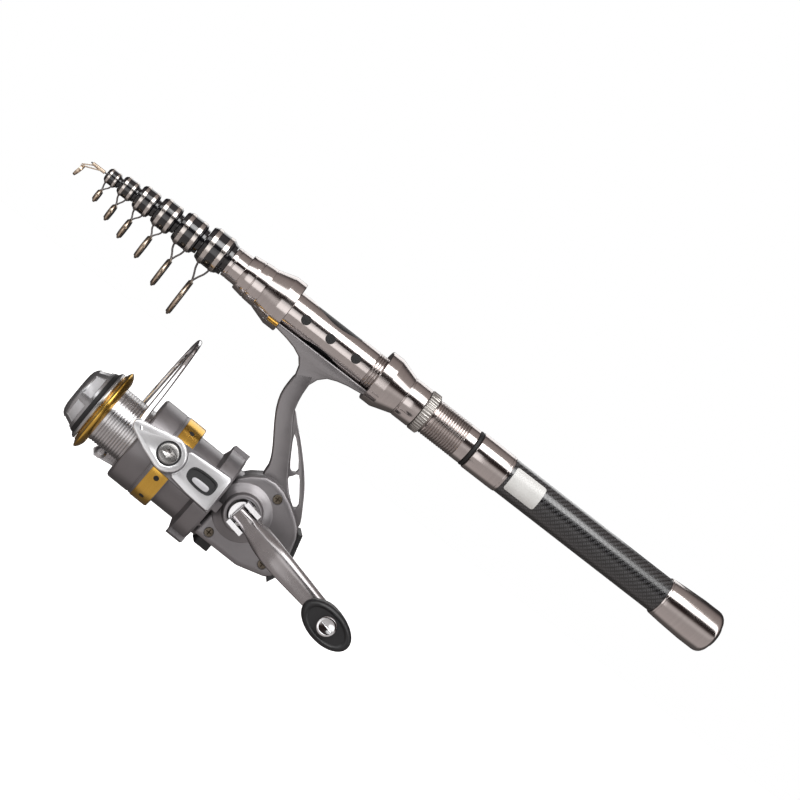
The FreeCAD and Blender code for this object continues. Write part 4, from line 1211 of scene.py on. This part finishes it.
@dataclass
class ReelBody:
    """Housing, side cover with its boss, curved leg with the open fin, and the foot."""

    outline: tuple[Point2, ...] = ((13.5, 18.0), (8.5, 23.6), (2.0, 28.3), (-4.0, 29.2), (-10.0, 28.2), (-17.0, 25.2),
                                   (-23.0, 21.6), (-28.2, 17.6), (-31.2, 12.6), (-33.4, 5.6), (-35.4, -2.2),
                                   (-35.3, -6.6), (-33.2, -11.6), (-30.4, -13.8), (-15.0, -18.3), (13.5, -18.5))
    side: float = 16.0
    split: float = 9.0
    wall: float = 2.2
    crank_z: float = 5.6
    screws: tuple[Point2, ...] = ((-10.0, 22.5), (7.0, -13.5), (-25.5, -9.0))

    def build(self) -> None:
        """Make every piece."""
        self.cast_frame()
        self.cast_side_cover()
        self.turn_boss()

    def inner(self) -> list[Point2]:
        """The outline moved in by the wall.

        Returns:
            Its points.
        """
        centre = Vector((-10.0, 4.0))
        spots = []
        for point in self.outline:
            arm = Vector(point) - centre
            spots.append(tuple(centre + arm * (1 - self.wall / arm.length)))
        return spots

    def cast_frame(self) -> None:
        """Rear half of the housing with its nose, the leg, the fin with two windows, and the foot."""
        shell = Bench.draw_plate("reel_housing", self.outline, (-self.side, self.split))
        Bench.ease(shell, 2.6, steps=4, over=60.0)
        Bench.cut(shell, [Bench.draw_plate("cavity", self.inner(), (-self.side + self.wall, self.split + 2.0))])
        nose = Bench.turn_on_lathe("reel_nose", [(11.0, 9.2), (11.0, 21.3), (20.4, 21.3), (21.6, 20.3), (22.2, 11.6),
                                                 (23.0, 11.0), (32.0, 10.8), (32.0, 9.2)], sides=96)
        Bench.cut(nose, [Bench.peg("bite", (7.0, 15.0, self.crank_z), 19.5, 12.2, Axis.Y, 48)])
        Bench.ease(nose, 0.4)
        post = Bench.peg("boss", (0.0, -14.8, self.crank_z), 9.0, 8.4, Axis.Y, 64)
        Bench.ease(post, 0.8, 3)
        Bench.cut(post, [Bench.peg("seat", (0.0, -17.0, self.crank_z), 6.05, 5.0, Axis.Y, 48),
                         Bench.peg("bore", (0.0, -14.8, self.crank_z), 3.1, 12.0, Axis.Y, 32)])
        frame_piece = Bench.join([shell, nose, post])
        fit_on_reel(frame_piece, (0.0,), REEL_PAINT, "root", "reel_paint", "reel_frame")
        self.cast_leg()

    def cast_leg(self) -> None:
        """Leg and fin, drawn as one smooth outline each in the rod's frame, and the saddle foot."""
        leg = Bench.draw_plate("reel_leg", round_path([
            (265.6, -19.0), (269.0, -24.0), (269.8, -32.0), (269.2, -39.5), (266.4, -47.0), (262.0, -54.5),
            (257.6, -61.0), (253.8, -67.0), (251.2, -73.0), (250.6, -79.5), (246.0, -82.5), (236.0, -83.0),
            (229.5, -82.0), (233.0, -78.8), (238.8, -72.5), (244.0, -64.6), (249.4, -55.4), (254.6, -47.8),
            (258.4, -41.0), (260.2, -32.0), (260.6, -24.0), (262.4, -19.0)], 2), (-5.9, 5.9))
        Bench.ease(leg, 1.9, steps=4, over=50.0)
        fin = Bench.draw_plate("reel_fin", round_path([
            (258.0, -41.5), (252.6, -46.4), (246.6, -51.6), (240.4, -57.6), (234.0, -64.4), (228.2, -71.6),
            (223.2, -79.4), (218.6, -87.6), (218.9, -91.2), (222.0, -91.3), (227.0, -87.6), (233.0, -82.4),
            (238.0, -76.0), (243.4, -68.0), (248.4, -60.0), (254.4, -50.0)], 3), (-3.5, 3.5))
        Bench.ease(fin, 1.3, steps=3, over=50.0)
        for window in (((250.4, -51.8), (243.6, -57.4), (236.9, -65.6), (238.3, -68.2), (241.0, -67.6),
                        (245.8, -60.4)),
                       ((235.0, -67.6), (229.8, -73.8), (225.2, -80.6), (226.0, -83.0), (228.6, -82.4),
                        (238.4, -73.4), (237.6, -70.2))):
            Bench.cut(fin, [Bench.draw_plate("window", round_path(window, 2), (-9.0, 9.0))])
        Bench.ease(fin, 0.35, steps=2, over=60.0)
        foot = Bench.draw_plate("reel_foot", [
            (228.5, -9.85), (228.5, -11.4), (233.0, -12.8), (238.0, -13.4), (244.0, -14.3), (250.0, -15.8),
            (255.0, -17.9), (258.6, -21.6), (260.3, -26.0), (261.6, -31.0), (268.4, -31.0), (269.5, -26.0),
            (270.8, -21.6), (273.8, -17.9), (279.0, -15.6), (285.0, -14.2), (292.0, -13.1), (297.0, -12.7),
            (301.5, -12.1), (301.5, -9.85)], (-7.0, 7.0))
        Bench.pick(foot)
        bpy.ops.object.mode_set(mode="EDIT")
        Bench.choose(lambda place: place.z < -20.0 * MM)
        bpy.ops.transform.resize(value=(1.0, 0.84, 1.0), center_override=(0.0, 0.0, 0.0))
        Bench.face_out()
        Bench.cut(foot, [Bench.peg("saddle", (265.0, 0.0, 0.0), 10.62, 120.0, Axis.X, 96)])
        Bench.ease(foot, 0.9, steps=3, over=40.0)
        whole = Bench.join([leg, fin, foot])
        fit(whole, (0.0,), LEG_PAINT, "root", "reel_paint")

    def cast_side_cover(self) -> None:
        """Side cover with crowned rim, screw recesses and a fine parting gap."""
        cover = Bench.draw_plate("reel_side_cover", self.outline, (self.split + 0.25, self.side))
        Bench.pick(cover)
        bpy.ops.object.mode_set(mode="EDIT")
        Bench.choose(lambda place: place.y > (self.side - 0.1) * MM, "FACE")
        bpy.ops.mesh.inset(thickness=2.4 * MM)
        bpy.ops.transform.translate(value=(0.0, 0.9 * MM, 0.0))
        Bench.face_out()
        Bench.ease(cover, 1.1, steps=3, over=15.0)
        tools = [Bench.peg("recess", (x, self.side + 0.9, z), 2.95, 2.2, Axis.Y, 32) for x, z in self.screws]
        tools.append(Bench.peg("bore", (0.0, 12.0, self.crank_z), 9.0, 16.0, Axis.Y, 48))
        Bench.cut(cover, tools)
        fit_on_reel(cover, (0.0,), REEL_PAINT, "root", "reel_paint", "side_cover")

    def turn_boss(self) -> None:
        """Stepped round boss that carries the crank, turned about X and then stood along Y."""
        boss = Bench.turn_on_lathe("crank_boss", [
            (15.2, 9.2), (15.2, 16.4), (16.9, 16.2), (17.3, 15.6), (17.5, 14.8), (19.0, 12.4), (19.5, 11.6),
            (19.9, 10.9), (23.2, 10.4), (23.9, 9.7), (23.9, 8.3), (23.4, 7.8), (19.4, 7.5), (19.4, 6.6), (15.2, 6.6)],
            sides=96)
        Bench.stand(boss, z=self.crank_z)
        fit_on_reel(boss, (0.25,), REEL_PAINT, "root", "reel_paint")
        post_screws = []
        for x, z in self.screws:
            head = Bench.peg("head", (x, self.side + 0.35, z), 2.55, 0.9, Axis.Y, 32)
            Bench.ease(head, 0.3, 3)
            Bench.cut_cross(head, (x, self.side + 0.9, z), 0.42, 3.2)
            post_screws.append(head)
        heads = Bench.join(post_screws)
        heads.name = "cover_screws"
        fit_on_reel(heads, (0.0,), DARK_SCREW, "root", "steel", "housing_screws")


@dataclass
class Spool:
    """Skirt, grooved arbor, gold band with its holes, gold lip and the drag knob."""

    radius: float = 25.5
    arbor: float = 16.5
    holes: int = 10
    windows: int = 6
    window_xs: Point2 = (98.6, 104.4)
    window_share: Point2 = (0.09, 0.91)
    dark_xs: Point2 = (94.9, 97.3)

    def build(self) -> None:
        """Make every piece."""
        self.turn_skirt()
        self.turn_lip()
        self.turn_knob()

    def turn_skirt(self) -> None:
        """Skirt with a rolled front shoulder; arbor with fine grooves; pierced gold band with painted shade in its
        holes.
        """
        rim = self.radius
        skirt = Bench.turn_on_lathe("spool_skirt", [
            (41.0, 24.3), (41.0, rim), (53.0, rim), (53.2, rim - 0.3), (53.7, rim - 0.3), (53.9, rim), (66.2, rim),
            (67.2, rim - 0.6), (67.6, rim - 1.6), (67.6, 16.2), (65.0, 16.2), (65.0, 24.3)], sides=128)
        fit_on_reel(skirt, (0.15,), REEL_PAINT, "spool", "reel_paint", "spool")
        grooves: list[Point2] = []
        for k in range(11):
            x = 68.6 + 1.6 * k
            grooves += [(x, self.arbor), (x + 0.4, self.arbor - 0.4), (x + 0.8, self.arbor)]
        arbor = Bench.turn_on_lathe("spool_arbor", [
            (67.5, 12.0), (67.5, self.arbor), *grooves, (87.0, self.arbor), (87.0, 19.2), (92.6, 19.2),
            (92.6, 14.5), (81.0, 14.5), (81.0, 12.0)], sides=96)
        fit_on_reel(arbor, (0.0,), ARBOR, "spool", "steel")
        band = Bench.turn_on_lathe("spool_gold_band", [
            (41.4, rim - 0.2), (41.4, rim + 0.15), (41.7, rim + 0.32), (51.3, rim + 0.32), (51.6, rim + 0.15),
            (51.6, rim - 0.2)], sides=128)
        hole_shades = []
        for k in range(self.holes):
            turn = 2 * math.pi * (k + 0.5) / self.holes
            hole = Bench.peg("hole", (0.0, 0.0, rim), 1.55, 2.4, Axis.Z, 24)
            # plug: a black disc at the bottom of the hole, painted shade for the hole's dark inside
            plug = Bench.peg("plug", (0.0, 0.0, rim - 0.55), 1.5, 1.3, Axis.Z, 24)
            for piece in (hole, plug):
                piece.matrix_world = (Matrix.Translation((46.5 * MM, 0.0, 0.0))
                                      @ Matrix.Rotation(turn - math.pi / 2, 4, "X"))
                Bench.apply_place(piece)
            hole_shades.append(plug)
            Bench.cut(band, [hole])
        fit_on_reel(band, (0.0,), GOLD, "spool", "gold", "spool_skirt_band")
        # The black discs are painted shade in the band's holes, not parts of the reel.
        dark = Bench.join(hole_shades)
        dark.name = "spool_hole_shade"
        fit_on_reel(dark, (0.0,), BLACK_PLASTIC_AND_SHADE, "spool", "black_plastic")

    def turn_lip(self) -> None:
        """Gold lip with a thin rolled edge."""
        lip = Bench.turn_on_lathe("spool_gold_lip", [
            (86.9, 19.3), (87.2, 20.6), (88.0, 22.6), (89.0, 23.9), *arc(90.1, 23.95, 0.7, 135.0, 20.0, 6),
            (91.2, 23.2), (91.9, 21.6), (92.5, 20.9), (92.5, 19.3)], sides=128)
        fit_on_reel(lip, (0.1,), GOLD, "spool", "gold", "spool_lip_ring")

    def turn_knob(self) -> None:
        """Drag knob: dark skirt, cone with pale sunk windows between ribs, dished front."""
        knob = Bench.turn_on_lathe("drag_knob_cone", [
            (94.1, 8.0), (94.1, 18.8), (92.8, 18.8), (92.8, 21.2), (93.6, 21.4), (94.6, 20.8), (95.4, 19.4),
            (97.2, 18.8), (98.0, 18.2), (98.4, 18.1), (104.2, 15.4), (105.6, 14.1), (106.6, 12.2), (107.1, 9.6),
            (107.0, 8.9), (106.7, 8.5), (106.7, 2.1), (101.0, 2.1), (101.0, 8.0)], sides=120)
        Bench.pick(knob)
        knob.data.materials.append(KNOB_SILVER.material())
        knob.data.materials.append(WINDOW_GREY.material())
        knob.data.materials.append(BLACK_PLASTIC_AND_SHADE.material())
        bpy.ops.object.mode_set(mode="EDIT")
        step = 2 * math.pi / self.windows

        def on_rim(place: Vector, xs: Point2, radius: float) -> bool:
            """Whether a face lies between two places along X and outside a radius."""
            return xs[0] * MM < place.x < xs[1] * MM and math.hypot(place.y, place.z) > radius * MM

        def in_window(place: Vector) -> bool:
            """Whether a face of the cone lies in a window."""
            turn = math.atan2(place.z, place.y) % step / step
            return (on_rim(place, self.window_xs, 13.0) and self.window_share[0] < turn < self.window_share[1])

        Bench.choose(lambda place: on_rim(place, self.dark_xs, 18.5), "FACE")
        knob.active_material_index = 2
        bpy.ops.object.material_slot_assign()
        Bench.choose(in_window, "FACE")
        bpy.ops.mesh.inset(thickness=0.35 * MM)
        bpy.ops.mesh.inset(thickness=0.25 * MM, depth=-0.45 * MM)
        knob.active_material_index = 1
        bpy.ops.object.material_slot_assign()
        Bench.face_out()
        on_reel(knob)
        Bench.ease(knob, 0.08, steps=1, over=35.0)
        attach(knob, "drag")
        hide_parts("drag_knob")
        log.info("made %s", knob.name)


@dataclass
class Bail:
    """Arm covers, lever, roller arm screws and the wire."""

    spin: float = 12.0
    pivot_x: float = 50.0
    face: float = 30.5
    oval_centre: Point2 = (27.9, -0.2)
    pad_centre: Point2 = (27.2, -2.0)
    wedge: tuple[Point2, ...] = ((32.0, -12.0), (45.0, -12.0), (45.0, 12.0), (32.0, 12.0), (37.2, 4.5), (37.2, -4.5))

    def build(self) -> None:
        """Make every piece."""
        self.cover_arms()
        self.shape_lever()
        self.bend_bail()
        self.drive_screws()

    def mirrored(self, piece: bpy.types.Object, name: str) -> bpy.types.Object:
        """Copy of a piece turned half round the spool axis.

        Args:
            piece: the piece.
            name: the copy's name.

        Returns:
            The copy.
        """
        other = Bench.copy(piece, name)
        other.matrix_world = Matrix.Rotation(math.pi, 4, "X")
        Bench.apply_place(other)
        return other

    def shrunk(self, oval: Sequence[Point2], centre: Point2, share_x: float, share_z: float) -> list[Point2]:
        """Outline of the sunk oval made smaller.

        Args:
            oval: the outline.
            centre: the smaller one's centre in millimetres.
            share_x: its share of the length.
            share_z: its share of the height.

        Returns:
            Its points.
        """
        x0, z0 = self.oval_centre
        return [(centre[0] + (x - x0) * share_x, centre[1] + (z - z0) * share_z) for x, z in oval]

    def cover_arms(self) -> None:
        """Bright plates over the rotor arms, each with a black sunk oval and a pale pad in it."""
        hollow = [(self.pivot_x + 10.3 * math.cos(math.radians(a)), 10.3 * math.sin(math.radians(a)))
                  for a in range(222, 136, -12)]
        plate = Bench.draw_plate("arm_cover", [(15.8, 9.4), (15.8, -9.8), (17.2, -10.6), (30.0, -10.0), (41.0, -8.4),
                                               *hollow, (41.0, 8.4), (30.0, 9.4), (17.2, 10.4)],
                                 (self.face, self.face + 1.3))
        Bench.ease(plate, 0.5, steps=3, over=40.0)
        oval = round_path([(20.0, 3.6), (19.2, 0.0), (20.2, -3.8), (24.0, -5.2), (31.0, -4.9), (35.4, -3.4),
                           (36.6, 0.0), (35.2, 3.2), (31.0, 4.5), (24.0, 4.7)], 3)
        Bench.cut(plate, [Bench.draw_plate("oval", oval, (self.face + 0.35, self.face + 3.0))])
        Bench.ease(plate, 0.0)
        inset = Bench.draw_plate("arm_inset", oval, (self.face + 0.1, self.face + 0.5))
        rim = Bench.draw_plate("rim", oval, (self.face + 0.5, self.face + 1.35))
        Bench.cut(rim, [Bench.draw_plate("hole", self.shrunk(oval, self.oval_centre, 0.9, 0.8),
                                         (self.face + 0.3, self.face + 3.0))])
        pad = Bench.draw_plate("arm_pad", self.shrunk(oval, self.pad_centre, 0.6, 0.36),
                               (self.face + 0.4, self.face + 1.2))
        Bench.ease(pad, 0.35, steps=3, over=40.0)
        for piece, finish, slot, stands_for in ((plate, CHROME_WITH_PAINTED_SHEEN, "bright", ("arm_covers",)),
                                                (Bench.join([inset, rim]), BLACK_PLASTIC_AND_SHADE, "black_plastic", ()),
                                                (pad, WINDOW_GREY, "bright", ())):
            far = self.mirrored(piece, "far")
            if stands_for:
                Bench.cut(far, [Bench.draw_plate("trim", self.wedge, (-34.0, -29.0))])
            pair = Bench.join([piece, far])
            fit_on_reel(pair, (0.0,), finish, "rotor", slot, *stands_for, spin=self.spin)

    def shape_lever(self) -> None:
        """Bright lever: round boss with a sunk seat for the screw, tapering to the wire; a thin black ring in the
        seat is painted shadow.
        """
        ring = [(self.pivot_x + 9.7 * math.cos(math.radians(a)), 9.7 * math.sin(math.radians(a)))
                for a in range(64, 300, 10)]
        lever = Bench.draw_plate("bail_lever_arm", [*ring, (57.6, -7.6), (62.0, -6.2), (67.0, -3.8), (72.4, -1.2),
                                                    (74.2, 1.0), (74.0, 3.4), (72.0, 5.0), (67.0, 5.9), (61.0, 7.2),
                                                    (57.2, 8.4)], (30.8, 34.3))
        Bench.ease(lever, 1.1, steps=4, over=40.0)
        Bench.cut(lever, [Bench.peg("seat", (self.pivot_x, 35.0, 0.0), 6.6, 3.0, Axis.Y, 64),
                          Bench.peg("bore", (self.pivot_x, 32.0, 0.0), 2.05, 12.0, Axis.Y, 32)])
        fit_on_reel(lever, (0.12, 2, 50.0), CHROME_WITH_PAINTED_SHEEN, "bail", "bright", "bail_lever", spin=self.spin)
        # Black ring at the seat's floor round the screw head: painted shadow.
        groove = Bench.turn_on_lathe("lever_shadow_ring", [(33.3, 5.5), (33.3, 6.55), (33.55, 6.55), (33.55, 5.5)],
                                     sides=64)
        Bench.stand(groove, self.pivot_x)
        fit_on_reel(groove, (0.0,), BLACK_PLASTIC_AND_SHADE, "bail", "black_plastic", spin=self.spin)

    def bend_bail(self) -> None:
        """One smooth wire, thick at the lever and thin at the roller."""
        points: list[Point3] = [(68.5, 32.6, 0.6), (71.0, 32.4, 3.0), (71.8, 31.6, 9.0)]
        count = 11
        for k in range(1, count):
            turn = math.pi * k / count * 0.97
            wide = 31.0 * math.copysign(abs(math.cos(turn)) ** 0.8, math.cos(turn))
            points.append((71.5 + 4.5 * k / count, wide, 3.0 + 57.5 * math.sin(turn) ** 0.8))
        points += [(76.4, -30.4, 7.0), (76.7, -28.6, -2.0), (76.9, -25.2, -8.5), (77.0, -23.8, -14.5)]
        share = [1.25 - 0.42 * min(1.0, k / 6) for k in range(len(points))]
        wire = Bench.bend_wire("bail_wire_bow", points, 1.55, share, round_steps=7)
        fit_on_reel(wire, (0.0,), CHROME, "bail", "bright", "bail_wire", spin=self.spin)

    def drive_screws(self) -> None:
        """Cross-head screws at both pivots."""
        head = Bench.peg("pivot_screws", (self.pivot_x, 34.3, 0.0), 5.3, 1.9, Axis.Y, 48)
        Bench.ease(head, 0.6, steps=4)
        Bench.cut_cross(head, (self.pivot_x, 35.3, 0.0), 0.75, 5.4)
        pin = Bench.peg("pin", (self.pivot_x, 30.2, 0.0), 2.0, 7.0, Axis.Y, 32)
        near = Bench.join([head, pin])
        both = Bench.join([near, self.mirrored(near, "far")])
        fit_on_reel(both, (0.1, 1, 50.0), STEEL, "bail", "steel", "bail_screws", spin=self.spin)


@dataclass
class Crank:
    """Bowed arm with a ridge along it, the knob and its cap."""

    axis_z: float = 5.6
    turn: float = 9.5
    length: float = 62.5
    knob_y: float = 55.4
    # place along the arm, inner and outer face, half width
    stations: tuple[tuple[float, float, float, float], ...] = (
        (4.0, 30.5, 38.0, 4.6), (-5.0, 30.5, 38.6, 4.8), (-9.0, 31.4, 41.0, 5.6), (-14.0, 35.0, 45.8, 6.8),
        (-19.0, 41.4, 50.4, 7.1), (-25.0, 46.2, 53.2, 7.0), (-33.0, 48.2, 54.4, 6.7), (-45.0, 48.6, 54.8, 6.1),
        (-57.0, 48.8, 54.8, 5.5), (-63.0, 48.8, 54.6, 5.2), (-67.6, 49.2, 54.0, 4.0))
    knob_rings: tuple[tuple[float, float, float], ...] = (
        (0.0, 5.6, 5.0), (0.2, 6.4, 5.8), (2.4, 7.6, 6.6), (7.0, 9.4, 7.5), (14.6, 11.7, 8.4), (22.0, 14.0, 9.0),
        (27.5, 15.3, 9.3), (30.6, 15.7, 9.3), (32.4, 15.2, 8.9), (33.4, 14.2, 8.0), (33.6, 13.2, 7.2),
        (33.3, 12.4, 6.6), (32.6, 11.6, 6.1))

    def place(self, piece: bpy.types.Object) -> bpy.types.Object:
        """Turn a piece shaped along -X from the crank's axis to the crank's rest angle.

        Args:
            piece: the piece.

        Returns:
            The piece.
        """
        piece.matrix_world = (Matrix.Translation((0.0, 0.0, self.axis_z * MM))
                              @ Matrix.Rotation(math.radians(-self.turn), 4, "Y"))
        Bench.apply_place(piece)
        return on_reel(piece)

    def build(self) -> None:
        """Make every piece."""
        self.draw_arm()
        self.shape_knob()

    def draw_arm(self) -> None:
        """Arm drawn out station by station from a twelve-sided section with an off-centre ridge."""
        Bench.clear()
        bpy.ops.mesh.primitive_circle_add(vertices=12, radius=MM, rotation=(0.0, math.pi / 2, 0.0))
        arm = Bench.name_new("crank_bow_arm")
        # corners of the section: share of depth from inner to outer face, share of half width
        section = ((0.62, 1.0), (0.9, 0.72), (1.0, 0.38), (0.9, 0.05), (0.8, -0.35), (0.7, -0.8), (0.5, -1.0),
                   (0.2, -1.0), (0.0, -0.7), (0.0, 0.0), (0.0, 0.7), (0.25, 1.0))
        bpy.ops.object.mode_set(mode="EDIT")
        x, inner, outer, half = self.stations[0]
        for index, (depth, wide) in enumerate(section):
            Bench.slide(index, Vector((x, inner + depth * (outer - inner), wide * half)) * MM)
        bpy.ops.mesh.select_mode(type="EDGE")
        bpy.ops.mesh.select_all(action="SELECT")
        for x1, inner1, outer1, half1 in self.stations[1:]:
            bpy.ops.mesh.extrude_edges_move(TRANSFORM_OT_translate={
                "value": ((x1 - x) * MM, (inner1 - inner) * MM, 0.0)})
            bpy.ops.transform.resize(value=(1.0, (outer1 - inner1) / (outer - inner), half1 / half),
                                     center_override=(x1 * MM, inner1 * MM, 0.0))
            x, inner, outer, half = x1, inner1, outer1, half1
        Bench.choose_open_edges()
        bpy.ops.mesh.edge_face_add()
        Bench.face_out()
        Bench.modify(arm, "BEVEL", width=0.7 * MM, segments=2, limit_method="ANGLE", angle_limit=math.radians(50))
        Bench.modify(arm, "SUBSURF", levels=2, render_levels=2)
        Bench.cut(arm, [Bench.peg("bore", (-1.0, 34.0, 0.0), 1.55, 30.0, Axis.Z, 24)])
        self.place(arm)
        fit(arm, (0.0,), CRANK_METAL, "crank", "crank_metal", "crank_arm")

    def shape_knob(self) -> None:
        """Oval knob that flares to a dished end, and a slotted bright cap in it."""
        Bench.clear()
        (along, wide, high) = self.knob_rings[0]
        at = (-self.length * MM, (self.knob_y + along) * MM, 0.0)
        bpy.ops.mesh.primitive_circle_add(vertices=64, radius=MM, rotation=(math.pi / 2, 0.0, 0.0), location=at)
        knob = Bench.name_new("crank_knob_grip")
        bpy.ops.object.mode_set(mode="EDIT")
        bpy.ops.mesh.select_mode(type="EDGE")
        bpy.ops.mesh.select_all(action="SELECT")
        bpy.ops.transform.resize(value=(wide, 1.0, high), center_override=at)
        for along1, wide1, high1 in self.knob_rings[1:]:
            bpy.ops.mesh.extrude_edges_move(TRANSFORM_OT_translate={"value": (0.0, (along1 - along) * MM, 0.0)})
            bpy.ops.transform.resize(value=(wide1 / wide, 1.0, high1 / high), center_override=at)
            along, wide, high = along1, wide1, high1
        Bench.choose_open_edges()
        bpy.ops.mesh.edge_face_add()
        Bench.face_out()
        Bench.cut(knob, [Bench.peg("bore", (-self.length, self.knob_y + 15.0, 0.0), 2.1, 60.0, Axis.Y, 32)])
        self.place(knob)
        fit(knob, (0.0,), KNOB_PLASTIC, "knob", "black_rubber", "crank_knob")
        top = self.knob_y + 33.6
        cap = Bench.turn_on_lathe("knob_bright_cap", [
            (top - 0.6, 2.2), (top - 0.6, 5.2), (top + 0.7, 5.2), (top + 1.2, 4.8), (top + 1.4, 4.0),
            (top + 1.1, 3.4), (top + 1.1, 0.4)], sides=48, closed=False)
        Bench.stand(cap, -self.length)
        Bench.cut(cap, [Bench.peg("slot", (-self.length, top + 1.4, 0.0), 0.7, 7.0, Axis.X, 4)])
        self.place(cap)
        fit(cap, (0.12,), CHROME, "crank", "bright", "knob_cap")


def main() -> None:
    """Dress the imported nodes, then build the stage and every sub-assembly."""
    logging.basicConfig(level=logging.INFO, format="%(message)s")
    bpy.ops.object.select_all(action="DESELECT")
    dress_carried_over()
    Studio().build()
    for part in (RodHandle(), ReelSeat(), RodSections(), ReelBody(), Spool(), Bail(), Crank()):
        part.build()


if __name__ == "__main__":
    main()
